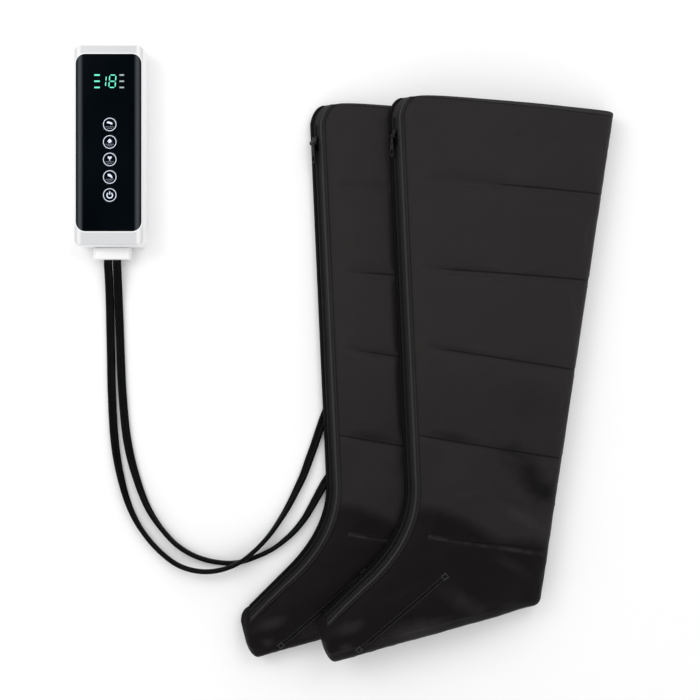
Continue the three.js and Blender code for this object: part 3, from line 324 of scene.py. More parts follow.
class Tree:
    """A node tree that is built from left to right."""

    def __init__(self, tree):
        self.tree = tree

    def add(self, kind, inputs=None, **settings):
        node = self.tree.nodes.new(kind)
        for name, value in settings.items():
            setattr(node, name, value)
        for key, value in (inputs or {}).items():
            self.feed(node.inputs[key], value)
        return node

    def feed(self, socket, value):
        if isinstance(value, Wire):
            self.tree.links.new(value.socket, socket)
        else:
            socket.default_value = value

    def wires(self, sockets):
        return [Wire(self, socket) for socket in sockets]

    def out(self, kind, output, inputs=None, **settings):
        return Wire(self, self.add(kind, inputs, **settings).outputs[output])

    def axes(self, vector):
        return self.wires(self.add("ShaderNodeSeparateXYZ", {0: vector}).outputs)

    def vector(self, operation, first, second, output=0):
        return self.out("ShaderNodeVectorMath", output, {0: first, 1: second}, operation=operation)

    def scaled(self, vector, factor):
        return self.out("ShaderNodeVectorMath", 0, {0: vector, "Scale": factor}, operation="SCALE")

    def noise(self, vector, scale, detail, roughness):
        return self.out("ShaderNodeTexNoise", "Fac", {
            "Vector": vector, "Scale": scale, "Detail": detail, "Roughness": roughness})

    def mix(self, factor, first, second):
        return self.out("ShaderNodeMix", 2, {0: factor, 6: first, 7: second}, data_type="RGBA")


# Node groups: each puts out only masks, heights and shades, for the materials to use
def weave(tree, place, threads):
    across, along = ((axis * (2 * math.pi)).math("SINE") for axis in tree.axes(tree.scaled(place, threads))[:2])
    return [across * along + 0.5]


def rumple(tree, place, size):
    scale = tree.out("ShaderNodeMath", 0, {0: 1.0, 1: size}, operation="DIVIDE")
    ridge = (tree.noise(place, scale, 4.0, 0.5) - 0.5).math("ABSOLUTE")
    patches = tree.noise(place, scale * 0.4, 2.0, 0.6)
    return ridge.ramp(0.0, 0.22, 1.0, 0.0), patches.ramp(0.3, 0.7)


def seam_line(tree, place, start, end, width):
    run, here = tree.vector("SUBTRACT", end, start), tree.vector("SUBTRACT", place, start)
    along = tree.vector("DOT_PRODUCT", here, run, "Value") / tree.vector("DOT_PRODUCT", run, run, "Value")
    nearest = tree.scaled(run, along.math("MAXIMUM", 0.0).math("MINIMUM", 1.0))
    return [(tree.vector("DISTANCE", here, nearest, "Value") / width).ramp(0.0, 1.0, 1.0, 0.0)]


def soft_patch(tree, place, middle, along, across):
    here = tree.vector("SUBTRACT", place, middle)
    a, b = (tree.vector("DOT_PRODUCT", here, way, "Value") for way in (along, across))
    uneven = (a * a + b * b).math("SQRT") + (tree.noise(place, 45.0, 2.0, 0.5) - 0.5) * 0.9
    return [uneven.ramp(0.15, 1.0, 1.0, 0.0)]


def dust(tree, place, amount):
    return [tree.noise(place, 900.0, 1.0, 0.4).ramp(0.66, 0.74) * tree.noise(place, 14.0, 3.0, 0.6) * amount]


def edge_wear(tree, place, reach):
    edge = (tree.out("ShaderNodeNewGeometry", "Pointiness") - 0.5).ramp(0.0, reach)
    return [edge * tree.noise(place, 160.0, 3.0, 0.6).ramp(0.35, 0.65)]


def moulded_grain(tree, place, size):
    scale = tree.out("ShaderNodeMath", 0, {0: 1.0, 1: size}, operation="DIVIDE")
    return tree.noise(place, scale, 2.0, 0.5), tree.noise(place, scale * 0.03, 3.0, 0.5)


# Each group's maker, its inputs with their defaults (None for a vector) and its outputs
GROUPS = {
    "Weave": (weave, {"Vector": None, "Threads": 900.0}, ["Height"]),
    "Rumple": (rumple, {"Vector": None, "Size": 0.03}, ["Height", "Shade"]),
    "Seam Line": (seam_line, {"Vector": None, "From": None, "To": None, "Width": 0.002}, ["Mask"]),
    "Soft Patch": (soft_patch, {"Vector": None, "Middle": None, "Along": None, "Across": None}, ["Mask"]),
    "Dust": (dust, {"Vector": None, "Amount": 0.5}, ["Mask"]),
    "Edge Wear": (edge_wear, {"Vector": None, "Reach": 0.06}, ["Mask"]),
    "Moulded Grain": (moulded_grain, {"Vector": None, "Size": 0.0006}, ["Height", "Shade"]),
}


def node_group(name):
    """The named group, which is made when it is first needed."""
    if name in bpy.data.node_groups:
        return bpy.data.node_groups[name]
    maker, inputs, outputs = GROUPS[name]
    group = bpy.data.node_groups.new(name, "ShaderNodeTree")
    for label, default in inputs.items():
        kind = "NodeSocketVector" if default is None else "NodeSocketFloat"
        socket = group.interface.new_socket(label, in_out="INPUT", socket_type=kind)
        if default is not None:
            socket.default_value = default
    for label in outputs:
        group.interface.new_socket(label, in_out="OUTPUT", socket_type="NodeSocketFloat")
    tree = Tree(group)
    given = tree.wires(tree.add("NodeGroupInput").outputs)[:len(inputs)]
    ends = tree.add("NodeGroupOutput").inputs
    for socket, value in zip(ends, maker(tree, *given)):
        tree.feed(socket, value)
    return group


# Materials
class Finish(Tree):
    """A material with a Principled shader and the patterns that feed it."""

    def __init__(self, name, **constants):
        self.material = bpy.data.materials.new(name)
        self.material.use_nodes = True
        super().__init__(self.material.node_tree)
        self.shader = self.tree.nodes["Principled BSDF"]
        for label, value in constants.items():
            self.shader.inputs[label.replace("_", " ")].default_value = value
        coordinates = self.add("ShaderNodeTexCoord").outputs
        self.place, self.pattern = (Wire(self, coordinates[kind]) for kind in ("Object", "UV"))

    def group(self, name, *values):
        """The outputs of the named group, from its inputs in their order."""
        node = self.add("ShaderNodeGroup", node_tree=node_group(name))
        for socket, value in zip(node.inputs, values):
            self.feed(socket, value)
        wires = self.wires(node.outputs)
        return wires if len(wires) > 1 else wires[0]

    def colour(self, value):
        self.feed(self.shader.inputs["Base Color"], value)

    def rough(self, mask, low, high):
        self.feed(self.shader.inputs["Roughness"], mask.ramp(0.0, 1.0, low, high))

    def bump(self, *layers):
        """Lays bumps of (height, strength, distance) over each other."""
        normal = {}
        for height, strength, distance in layers:
            inputs = {"Height": height, "Strength": strength, "Distance": distance, **normal}
            normal = {"Normal": self.out("ShaderNodeBump", 0, inputs)}
        self.feed(self.shader.inputs["Normal"], normal["Normal"])

    def two_tone(self, mask, dark, light, rough, *bumps):
        """Mixes two colours and two roughnesses by one mask, over the bumps."""
        self.colour(self.mix(mask, tint(dark), tint(light)))
        self.rough(mask, *rough)
        if bumps:
            self.bump(*bumps)
        return self.material


def tint(colour, gain=1.0):
    return (colour[0] * gain, colour[1] * gain, colour[2] * gain, 1.0)


def grey(value):
    return (value, value, value)


# Painted highlights and painted shade of soft folds on the cloth: (up, across, turn, reach, width, tone) in
# millimetres
FOLD_LIGHT_AND_SHADE = [
    (227, 43, 89, 59, 34, -0.22), (177, 131, 91, 34, 8, -0.5), (171, 163, 99, 14, 9, 0.25),
    (142, 34, 45, 60, 22, -0.85), (97, 38, 67, 43, 10, 0.4), (140, 122, 79, 51, 32, 0.12),
    (78, 124, 85, 54, 15, -1.0), (-8, 89, 67, 38, 14, 0.28), (-49, 141, 114, 46, 16, 0.55),
    (-55, 213, 117, 24, 9, 0.4), (-78, 216, 110, 9, 6, 0.35), (-44, 230, 121, 17, 6, -0.5),
    (14, 195, 147, 70, 16, -0.4), (42, 42, 71, 27, 9, 0.18), (131, 14, 179, 16, 30, -0.5),
]
# Painted highlights on ridges under seams, each as its two ends, its width in metres and how light it is
RIDGE_HIGHLIGHTS = [
    ((60.7, 139.5), (59.8, 95.5), 0.0030, 0.85), ((60.0, 98), (59.3, 3), 0.0034, 0.6),
    ((163.3, 68.5), (161.3, 4.8), 0.003, 0.3),
]
# Drawn lines of the seams: (height, across) at both ends, and how far across they show
SHADED_SEAMS = [
    (((back, 0), (front, FRONT_LINE)), reach) for (back, front), reach in zip(LEG_SEAMS, SEAM_SHADES)
] + [(((65.5, 0), (60.5, 150)), SEAM_SHADES[-1])]
SEAM_BLACK = tint(grey(0.0008))
# Tone of the painted shade, and tone of the lighter mottle with painted highlights
LEG_PAINTED_SHADE = (0.0030, 0.0022, 0.0026, 1)
LEG_MOTTLE_AND_HIGHLIGHT = (0.030, 0.027, 0.028, 1)


def boot_cloth(colours):
    """Smooth coated cloth: darker on the foot as painted shade, drawn in along its seams, with painted highlights
    and painted shade of soft folds.
    """
    cloth = Finish("Boot Cloth", Specular_IOR_Level=0.08)
    place = cloth.pattern
    up, across = cloth.axes(place)[:2]
    folds, patches = cloth.group("Rumple", place, 0.06)
    fine_folds, fine_patches = cloth.group("Rumple", place, 0.011)

    def line(start, end, width):
        (x0, y0), (x1, y1) = start, end
        return cloth.group("Seam Line", place, (x0 * MM, y0 * MM, 0), (x1 * MM, y1 * MM, 0), width)

    # Painted shade: the foot darker below a wavering line at the ankle, the lower leg a little darker above it
    ankle = patches * 0.012 + up - across.ramp(0.06, 0.13, 0.0, 0.024)
    leg = cloth.mix(up.ramp(0.19, 0.27, 0.2, 0.0), tint(colours.leg_cloth), LEG_PAINTED_SHADE)
    shaded = cloth.mix(ankle.ramp(0.066, 0.082, 1.0, 0.0), leg, tint(colours.shaded_foot_cloth))
    seams = line(*DART, 0.0024)
    for ends, reach in SHADED_SEAMS:
        shown = across.ramp((reach - 30) * MM, reach * MM, 1.0, 0.0)
        seams = seams.math("MAXIMUM", line(*ends, 0.0017) * shown)
    # light gathers lighter mottle and painted highlights of folds and ridges; dark gathers painted shade of folds
    light, dark = patches.ramp(0.5, 1.0, 0.0, 0.12), 0.0
    for x, y, turn, reach, width, tone in FOLD_LIGHT_AND_SHADE:
        cos, sin = math.cos(math.radians(turn)), math.sin(math.radians(turn))
        mask = cloth.group(
            "Soft Patch", place, (x * MM, y * MM, 0), (cos / (reach * MM), sin / (reach * MM), 0),
            (-sin / (width * MM), cos / (width * MM), 0))
        if tone > 0:
            light = mask * tone + light
        else:
            dark = mask * -tone + dark
    # Painted highlights along the ridges under the seams
    for start, end, width, tone in RIDGE_HIGHLIGHTS:
        light = line(start, end, width) * fine_patches.ramp(0.3, 0.75, 0.25) * tone + light
    for mask, tone in ((light, LEG_MOTTLE_AND_HIGHLIGHT), (dark, LEG_PAINTED_SHADE), (seams * 0.9, SEAM_BLACK)):
        shaded = cloth.mix(mask.math("MINIMUM", 1.0), shaded, tone)
    cloth.colour(cloth.mix(cloth.group("Dust", place, 0.12), shaded, (0.11, 0.105, 0.10, 1)))
    cloth.rough(fine_patches * 0.4 + patches * 0.6, 0.46, 0.62)
    cloth.bump(
        (seams, -0.6, 0.0010), (folds, 0.22, 0.0012), (fine_folds, 0.2, 0.0004),
        (cloth.group("Weave", place, 1100.0), 0.12, 0.0002))
    return cloth.material


def binding_tape(name, colour, shaded_foot_colour, fold_highlight_colour):
    """Ribbed tape, folded over the boot's edges, darker on the foot as painted shade and with a painted highlight
    along its fold.
    """
    tape = Finish(name, Specular_IOR_Level=0.05)
    folds, patches = tape.group("Rumple", tape.place, 0.02)
    along, across = tape.axes(tape.pattern)[:2]
    leg = tape.mix(patches, tint(colour, 0.85), tint(colour, 1.15))
    # Painted shade: the tape darker along the foot
    flat = tape.mix(along.ramp(0.44, 0.53), leg, tint(shaded_foot_colour))
    # Painted highlight: a thin paler line along the fold
    edge = across.math("ABSOLUTE").ramp(0.0005, 0.0018, 1.0, 0.0)
    tape.colour(tape.mix(edge, flat, tint(fold_highlight_colour)))
    tape.rough(patches, 0.5, 0.68)
    tape.bump((tape.group("Weave", tape.pattern, 700.0), 0.5, 0.0003), (folds, 0.2, 0.0004))
    return tape.material


def lining_cloth():
    """Soft knitted lining."""
    cloth = Finish("Lining Cloth", Sheen_Weight=0.45, Sheen_Roughness=0.6)
    knit = cloth.group("Weave", cloth.pattern, 620.0)
    folds, patches = cloth.group("Rumple", cloth.pattern, 0.035)
    return cloth.two_tone(
        patches, (0.018, 0.018, 0.021), (0.035, 0.035, 0.040), (0.78, 0.92),
        (knit, 0.45, 0.0004), (folds, 0.4, 0.0012))


def bladder_film():
    """Welded air bladder film."""
    film = Finish("Bladder Film", Sheen_Weight=0.1)
    folds, patches = film.group("Rumple", film.pattern, 0.018)
    return film.two_tone(patches, (0.12, 0.13, 0.14), (0.17, 0.18, 0.19), (0.32, 0.5), (folds, 0.5, 0.0012))


def moulded(name, dark, light, rough, wear=None, coat=0.0, shine=0.5, dusty=0.25):
    """Moulded plastic or rubber with a fine grain, a little dust and lighter edges."""
    plastic = Finish(name, Coat_Roughness=0.06, Specular_IOR_Level=shine, Coat_Weight=coat)
    grain, cloud = plastic.group("Moulded Grain", plastic.place, 0.0006)
    edge = plastic.group("Edge Wear", plastic.place, 0.08) * 0.5
    specks = plastic.group("Dust", plastic.place, dusty) * 0.3
    base = plastic.mix(cloud, tint(dark), tint(light))
    plastic.colour(plastic.mix(specks, plastic.mix(edge, base, tint(wear or light)), (0.4, 0.39, 0.38, 1)))
    plastic.rough(cloud, *rough)
    plastic.bump((grain, 0.1, 0.0001))
    return plastic.material


def white_case(colours):
    """White moulding with painted shade and highlights: greyer on its flat ends, paler on its sides, edges and rim
    round the plate.
    """
    plastic = Finish("White Housing", Coat_Roughness=0.1, Coat_Weight=0.2)
    grain, cloud = plastic.group("Moulded Grain", plastic.place, 0.0006)
    x, y, z = plastic.axes(plastic.place)
    reach, rise = (
        (axis - middle * MM).math("ABSOLUTE") for axis, middle in zip((x, y), in_case(0, PLATE_OFFSET)))
    a, b = (
        (away - (size / 2 - PLATE_CORNER) * MM).math("MAXIMUM", 0.0)
        for away, size in zip((reach, rise), PLATE_SIZE))
    rim = (a * a + b * b).math("SQRT").ramp((PLATE_CORNER + 0.8) * MM, (PLATE_CORNER + 2.0) * MM, 1.0, 0.0)
    sides = z.ramp((CASE_SIZE[2] - 1.2) * MM, (CASE_SIZE[2] - 0.3) * MM, 1.0, 0.0)
    half = CASE_SIZE[0] / 2 * MM
    band = reach.ramp(0.76 * half, 0.82 * half, 0.0, 0.6) * reach.ramp(0.86 * half, 0.92 * half, 1.0, 0.0)
    base = plastic.mix(cloud, tint(colours.case, 0.985), tint(colours.case))
    # Painted highlights on the rim round the plate, near the top and in bands along the long sides
    pale = rim.math("MAXIMUM", sides).math("MAXIMUM", band)
    plastic.colour(plastic.mix(pale, base, (0.88, 0.88, 0.885, 1)))
    plastic.rough(cloud, 0.28, 0.32)
    plastic.bump((grain, 0.02, 0.0001))
    return plastic.material


def metal(name, colour, rough):
    """Plated or turned metal with fine scratches."""
    plated = Finish(name, Metallic=1.0)
    scratches, cloud = plated.group("Moulded Grain", plated.place, 0.0003)
    tone = plated.mix(cloud, tint(colour, 0.85), tint(colour))
    plated.colour(plated.mix(plated.group("Edge Wear", plated.place, 0.1), tone, tint(colour, 1.15)))
    plated.rough(scratches, *rough)
    plated.bump((scratches, 0.15, 0.00005))
    return plated.material


def plate_gloss():
    """Glossy black plate, blue in its depth, with a painted reflection where it curves down at its long edges."""
    plate = Finish("Plate Gloss", Specular_IOR_Level=0.012)
    smears, patches = plate.group("Rumple", plate.place, 0.05)
    base = plate.mix(patches, (0.0003, 0.0014, 0.0026, 1), (0.0012, 0.0026, 0.0045, 1))
    middle, half = in_case(0, 0)[0] * MM, PLATE_SIZE[0] / 2 * MM
    reach = (plate.axes(plate.place)[0] - middle).math("ABSOLUTE")
    # Painted reflection: a paler band where the plate curves down at its long edges
    reflection_band = reach.ramp(0.78 * half, 0.88 * half) * reach.ramp(0.89 * half, 0.975 * half, 1.0, 0.15)
    deep = plate.mix(reflection_band, base, (0.056, 0.062, 0.070, 1))
    plate.colour(plate.mix(plate.group("Dust", plate.place, 0.03), deep, tint(grey(0.2))))
    plate.rough(patches, 0.07, 0.14)
    plate.bump((smears, 0.02, 0.0002))
    return plate.material


def lit_print(name, colour, glow):
    """Printed or lit mark, a little uneven in strength."""
    ink = Finish(name, Roughness=0.4, Emission_Strength=glow)
    tone = ink.mix(ink.group("Moulded Grain", ink.place, 0.0012)[0], tint(colour, 0.72), tint(colour))
    ink.colour(tone)
    ink.feed(ink.shader.inputs["Emission Color"], tone)
    return ink.material


def thread(name, dark, light):
    """Twisted sewing thread."""
    yarn = Finish(name, Sheen_Weight=0.05, Sheen_Roughness=0.4, Specular_IOR_Level=0.2)
    twist = yarn.group("Moulded Grain", yarn.place, 0.0005)[0]
    return yarn.two_tone(twist, dark, light, (0.55, 0.75), (twist, 0.4, 0.0001))


def floor_paint():
    """Pale seamless floor."""
    paper = Finish("Pale Floor", Specular_IOR_Level=0.2)
    cloud = paper.group("Moulded Grain", paper.place, 0.004)[1]
    return paper.two_tone(cloud, (0.94, 0.94, 0.945), (0.95, 0.95, 0.955), (0.75, 0.85))


def board_green():
    """Circuit board with tracks under its green mask."""
    board = Finish("Circuit Board", Coat_Weight=0.3)
    tracks = board.group("Weave", board.place, 180.0).ramp(0.46, 0.56)
    return board.two_tone(tracks, (0.008, 0.10, 0.035), (0.02, 0.19, 0.07), (0.3, 0.45), (tracks, 0.3, 0.0001))


FINISHES = {}


def make_finishes(colours):
    # Painted light: the mouth's tape made lighter than the binding tape against the shade it lies in
    lit_hem = (0.034, 0.0335, 0.033)
    FINISHES.update({
        "cover": boot_cloth(colours),
        # Binding tape with painted shade on the foot and a painted highlight along its fold
        "binding": binding_tape(
            "Binding Tape", colours.binding, (0.0098, 0.0080, 0.0084), (0.040, 0.040, 0.039)),
        "lit_hem": binding_tape("Lit Hem Tape", lit_hem, lit_hem, lit_hem),
        # The far tape painted near black as the shadow in the gap beside the zipper
        "shadow binding": binding_tape("Painted Shadow Binding", grey(0.004), grey(0.003), grey(0.004)),
        "lining": lining_cloth(),
        "bladder": bladder_film(),
        "hose": moulded("Hose Rubber", (0.0012, 0.0014, 0.0014), (0.0022, 0.0024, 0.0024), (0.22, 0.32),
                        wear=grey(0.008), shine=0.05, dusty=0.05),
        "case": white_case(colours),
        "neck": moulded("White Neck", (0.87, 0.87, 0.875), (0.88, 0.88, 0.885), (0.24, 0.32),
                        coat=0.3, dusty=0.02),
        "plate": plate_gloss(),
        "dark": moulded("Dark Plastic", (0.02, 0.021, 0.023), (0.03, 0.031, 0.034), (0.45, 0.6)),
        "cell": moulded("Cell Wrap", (0.03, 0.12, 0.32), (0.04, 0.15, 0.38), (0.3, 0.42), coat=0.3),
        "board": board_green(),
        "dark metal": metal("Dark Slider", (0.021, 0.021, 0.022), (0.12, 0.25)),
        "steel": metal("Plain Steel", (0.48, 0.49, 0.51), (0.28, 0.45)),
        "tape": thread("Zipper Tape", (0.002, 0.002, 0.0022), (0.004, 0.004, 0.0042)),
        "teeth": moulded("Zipper Teeth", (0.003, 0.003, 0.0032), (0.006, 0.006, 0.0062), (0.3, 0.45),
                         shine=0.12, dusty=0.05),
        "dark thread": thread("Dark Thread", grey(0.003), grey(0.007)),
        "light thread": thread("Light Thread", (0.026, 0.025, 0.027), (0.052, 0.050, 0.054)),
        "tape thread": thread("Tape Thread", grey(0.02), (0.05, 0.05, 0.048)),
        "white print": lit_print("White Print", (0.62, 0.68, 0.80), 0.5),
        "dim print": lit_print("Dim Print", (0.22, 0.25, 0.31), 0.3),
        "green light": lit_print("Green Light", colours.digits, 1.25),
        "pale light": lit_print("Pale Light", (0.34, 0.44, 0.42), 0.35),
    })


def place_in_scene(name, data):
    thing = bpy.data.objects.new(name, data)
    bpy.context.scene.collection.objects.link(thing)
    return thing


def set_stage():
    scene = bpy.context.scene
    scene.view_settings.view_transform = "Standard"
    scene.view_settings.look = "None"
    scene.world = bpy.data.worlds.new("Soft Light")
    scene.world.use_nodes = True
    sky = scene.world.node_tree.nodes["Background"]
    sky.inputs["Color"].default_value = tint(grey(1.0))
    sky.inputs["Strength"].default_value = SKY_STRENGTH
    floor = bpy.data.meshes.new("floor")
    corners = [(x * FLOOR_HALF, y * FLOOR_HALF, FLOOR_DEPTH) for x, y in ((-1, -1), (1, -1), (1, 1), (-1, 1))]
    floor.from_pydata(corners, [], [(0, 1, 2, 3)])
    floor.materials.append(floor_paint())
    stage = [place_in_scene("floor", floor)]
    for name, (place, power, colour) in LAMPS.items():
        lamp = bpy.data.lights.new(name, "AREA")
        lamp.shape = "SQUARE"
        lamp.size = 1.0
        lamp.energy = power
        lamp.color = colour
        light = place_in_scene(name, lamp)
        light.location = place
        light.rotation_euler = (-Vector(place)).to_track_quat("-Z", "Y").to_euler()
        stage.append(light)
    lens = bpy.data.cameras.new("photo_view")
    lens.lens = CAMERA_LENS
    lens.sensor_width = 36.0
    lens.clip_start = 0.05
    scene.camera = place_in_scene("photo_view", lens)
    scene.camera.location = CAMERA_PLACE


# Making meshes
def in_metres(points):
    return [tuple(float(c) * MM for c in point) for point in points]


def mesh_object(name, points, faces, finish, crease=None):
    """A mesh from points in millimetres, smooth but for edges sharper than the crease angle."""
    mesh = bpy.data.meshes.new(name)
    mesh.from_pydata(in_metres(points), [], faces)
    mesh.validate()
    mesh.materials.append(FINISHES[finish])
    piece = place_in_scene(name, mesh)
    return smoothed(piece, crease)


def smoothed(piece, crease=None):
    piece.data.shade_smooth()
    if crease:
        piece.data.set_sharp_from_angle(angle=math.radians(crease))
    return piece


def ring_faces(rows, columns):
    """Faces between rows of points, each of which closes on itself."""
    return [
        (r * columns + i, r * columns + (i + 1) % columns, (r + 1) * columns + (i + 1) % columns,
         (r + 1) * columns + i)
        for r in range(rows - 1) for i in range(columns)
    ]


def capped_faces(rows, columns):
    last = (rows - 1) * columns
    return ring_faces(rows, columns) + [tuple(range(columns))[::-1], tuple(range(last, last + columns))]


def tip_faces(rows, columns):
    """Faces from the last row to one point after all the others."""
    last = (rows - 1) * columns
    return [(last + i, last + (i + 1) % columns, rows * columns) for i in range(columns)]


def settle(piece):
    """Applies the piece's modifiers to its mesh."""
    depsgraph = bpy.context.evaluated_depsgraph_get()
    mesh = bpy.data.meshes.new_from_object(piece.evaluated_get(depsgraph))
    piece.modifiers.clear()
    old = piece.data
    piece.data = mesh
    bpy.data.meshes.remove(old)
    return piece


def outward(piece, merge=1e-6):
    """Merges points that lie closer than a distance in metres, and turns all faces outwards."""
    shape = bmesh.new()
    shape.from_mesh(piece.data)
    if merge:
        bmesh.ops.remove_doubles(shape, verts=shape.verts, dist=merge)
    bmesh.ops.recalc_face_normals(shape, faces=shape.faces)
    shape.to_mesh(piece.data)
    shape.free()
    return piece


def set_pattern(piece, spots):
    """Lays the flat pattern's places on the piece as its UV map, in metres."""
    layer = piece.data.uv_layers.new(name="Pattern")
    corners = np.empty(len(piece.data.loops), dtype=np.int32)
    piece.data.loops.foreach_get("vertex_index", corners)
    layer.data.foreach_set("uv", (np.asarray(spots)[corners] * MM).astype(np.float32).ravel())
    return piece


def give_wall(piece, thickness, offset=-1):
    """Gives the piece's sheet its thickness, inwards or, without an offset, to both sides."""
    wall = piece.modifiers.new("Wall", "SOLIDIFY")
    wall.thickness = thickness * MM
    wall.offset = offset
    wall.use_even_offset = False
    wall.use_quality_normals = True
    return settle(piece)


def go_along(piece, body="massager"):
    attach(piece, body)
    return piece


def stand_for(piece, node, body="massager"):
    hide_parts(node)
    return go_along(piece, body)


# Hoses
def smooth_route(stops, count):
    """Points and rolls along a smooth line through the stops, evenly in its parameter."""
    places = [Vector(stop[:3]) for stop in stops]
    rolls = [stop[3] for stop in stops]
    spans = len(places) - 1
    drawn = []
    for step in range(count + 1):
        at = spans * step / count
        i = min(int(at), spans - 1)
        share = at - i
        p1, p2 = places[i], places[i + 1]
        p0 = places[i - 1] if i else p1 * 2 - p2
        p3 = places[i + 2] if i + 2 < len(places) else p2 * 2 - p1
        d0, d1, d2 = ((b - a).length ** 0.5 or 1.0 for a, b in ((p0, p1), (p1, p2), (p2, p3)))
        start = ((p1 - p0) / d0 - (p2 - p0) / (d0 + d1) + (p2 - p1) / d1) * d1
        end = ((p2 - p1) / d1 - (p3 - p1) / (d1 + d2) + (p3 - p2) / d2) * d1
        c = p2 * 3 - p1 * 3 - start * 2 - end
        d = p1 * 2 - p2 * 2 + start + end
        point = p1 + start * share + c * share ** 2 + d * share ** 3
        drawn.append((point, rolls[i] + (rolls[i + 1] - rolls[i]) * share))
    return drawn


def twin_section():
    """Two round tubes side by side, joined by a thin web."""
    radius = HOSE_THICKNESS / 2
    centre = HOSE_WIDTH / 2 - radius
    turns = [-math.pi + WEB_DIP + 2 * (math.pi - WEB_DIP) * k / TUBE_SIDES for k in range(TUBE_SIDES + 1)]
    return [
        (side * (centre + radius * math.cos(turn)), side * radius * math.sin(turn))
        for side in (1, -1) for turn in turns]


def make_hose(name):
    """A flat hose of two tubes, swept along its route and closed at both ends."""
    route = smooth_route(ROUTES[name], HOSE_STEPS)
    section = twin_section()
    rings, spots = [], []
    travelled = 0.0
    for i, (point, roll) in enumerate(route):
        before, after = route[max(i - 1, 0)][0], route[min(i + 1, HOSE_STEPS)][0]
        travelled += (point - before).length
        forward = (after - before).normalized()
        level = Vector((forward.y, -forward.x, 0)).normalized()
        up = level.cross(forward).normalized()
        turn = math.radians(roll)
        across = level * math.cos(turn) + up * math.sin(turn)
        rise = up * math.cos(turn) - level * math.sin(turn)
        rings.extend(point + across * a + rise * b for a, b in section)
        spots.extend((travelled, k * 1.5) for k in range(len(section)))
    faces = capped_faces(len(route), len(section))
    hose = outward(set_pattern(mesh_object(name + "_rubber", rings, faces, "hose", crease=60), spots))
    stand_for(hose, name)


# Boot pattern
SOLE = np.array((math.cos(SOLE_ANGLE), math.sin(SOLE_ANGLE)))
SOLE_UP = np.array((SOLE[1], -SOLE[0]))


def lerp(start, end, share):
    return start + (end - start) * share


def smooth(value):
    value = min(max(value, 0.0), 1.0)
    return value * value * (3 - 2 * value)


def sole_point(along, height):
    return SOLE * along + SOLE_UP * height


def quadratic(start, bend, end, count):
    t = np.linspace(0, 1, count)[:, None]
    return (1 - t) ** 2 * start + 2 * t * (1 - t) * bend + t ** 2 * end


def meeting(a, b, c, d):
    """Where the line through a and b meets the line through c and d."""
    a, b, c, d = (np.asarray(p, float) for p in (a, b, c, d))
    first, second, gap = b - a, d - c, c - a
    cross = first[0] * second[1] - first[1] * second[0]
    return a + first * (gap[0] * second[1] - gap[1] * second[0]) / cross


class Path:
    """A line through points that is read by the share of its length."""

    def __init__(self, points):
        self.points = np.asarray(points, float)
        steps = np.linalg.norm(np.diff(self.points, axis=0), axis=1)
        self.shares = np.concatenate(([0], np.cumsum(steps))) / steps.sum()

    def at(self, share):
        return np.array([np.interp(share, self.shares, axis) for axis in self.points.T])


def leaned(x, y):
    """Turns a direction from a boot's own frame to the way the boots lie."""
    return x * LEAN_COS - y * LEAN_SIN, x * LEAN_SIN + y * LEAN_COS


TOE_POINT, INSTEP_POINT = sole_point(*TOE_TOP), sole_point(*INSTEP)
MOUTH_CORNER = Path(quadratic(MOUTH_FRONT, (MOUTH_FRONT[0] - 1.5, MOUTH_WIDTH), FRONT_TOP, 24))
FOOT_FRONT = Path([
    *quadratic(ANKLE, meeting(FRONT_TOP, ANKLE, TOE_POINT, INSTEP_POINT), INSTEP_POINT, 40), TOE_POINT])
FOOT_BACK = Path([
    (ANKLE[0], 0), *quadratic((HEEL_RADIUS, 0), (0, 0), sole_point(HEEL_RADIUS, 0), 16),
    sole_point(SOLE_LENGTH, 0)])
# From the right boot's heel to the left one's, in the boots' own frame
HEELS_APART = HEELS["left"] - HEELS["right"]
LEFT_SHIFT = np.array((
    HEELS_APART.x * LEAN_COS + HEELS_APART.y * LEAN_SIN, HEELS_APART.y * LEAN_COS - HEELS_APART.x * LEAN_SIN))


def front_at(height):
    share = (FRONT_TOP[0] - height) / (FRONT_TOP[0] - ANKLE[0])
    return lerp(np.array(FRONT_TOP), np.array(ANKLE), share)


def row(back, front, plump=1.0, level=None):
    """One section line of the boot, from its back fold to its front edge."""
    back, front = np.asarray(back, float), np.asarray(front, float)
    width = float(np.linalg.norm(front - back))
    along = (front - back) / width
    run = min(FACE_RUN, 0.28 * width)
    shoulder = width - run - min(SHOULDER_RUN, 0.17 * width)
    fold = min(FOLD_DEPTH, 0.2 * width)
    past_back = (LEFT_SHIFT[1] - back[1]) / max(along[1], 0.2)
    past_sole = float((LEFT_SHIFT - back) @ SOLE_UP) / max(float(along @ SOLE_UP), 0.2)
    reach = min(max(past_back, past_sole, 20.0), lerp(fold, shoulder, 0.6))
    return SimpleNamespace(
        back=back, front=front, width=width, along=along, run=run, shoulder=shoulder, fold=fold,
        reach=reach, plump=plump, level=level)


def closing_in(knots, fine, coarse):
    """Places along a line that lie close together at its knots and further apart between them."""
    places = []
    for start, end in zip(knots, knots[1:]):
        count = max(4, int(abs(end - start) / coarse))
        even = np.linspace(0, 1, count + 1)[:-1]
        eased = even - (1 - fine / coarse) * np.sin(2 * np.pi * even) / (2 * np.pi)
        places.extend(lerp(start, end, eased))
    return places + [knots[-1]]


def corner_rows(count):
    """Rows that fan out round the mouth's front corner."""
    return [
        row((lerp(COVER_TOP, FRONT_TOP[0], step), 0), MOUTH_CORNER.at(lerp(CORNER_START, 1, step)))
        for step in np.linspace(0, 1, count + 1)[:-1]]


def leg_rows(spacing):
    """Rows from the mouth's corner down to the ankle; some run along the slanting seams."""
    backs, fronts = ([FRONT_TOP[0], *(seam[end] for seam in LEG_SEAMS), ANKLE[0]] for end in (0, 1))
    return [
        row((height, 0), front_at(np.interp(height, backs[::-1], fronts[::-1])), level=height)
        for height in closing_in(backs, 0.25 * spacing, spacing)]


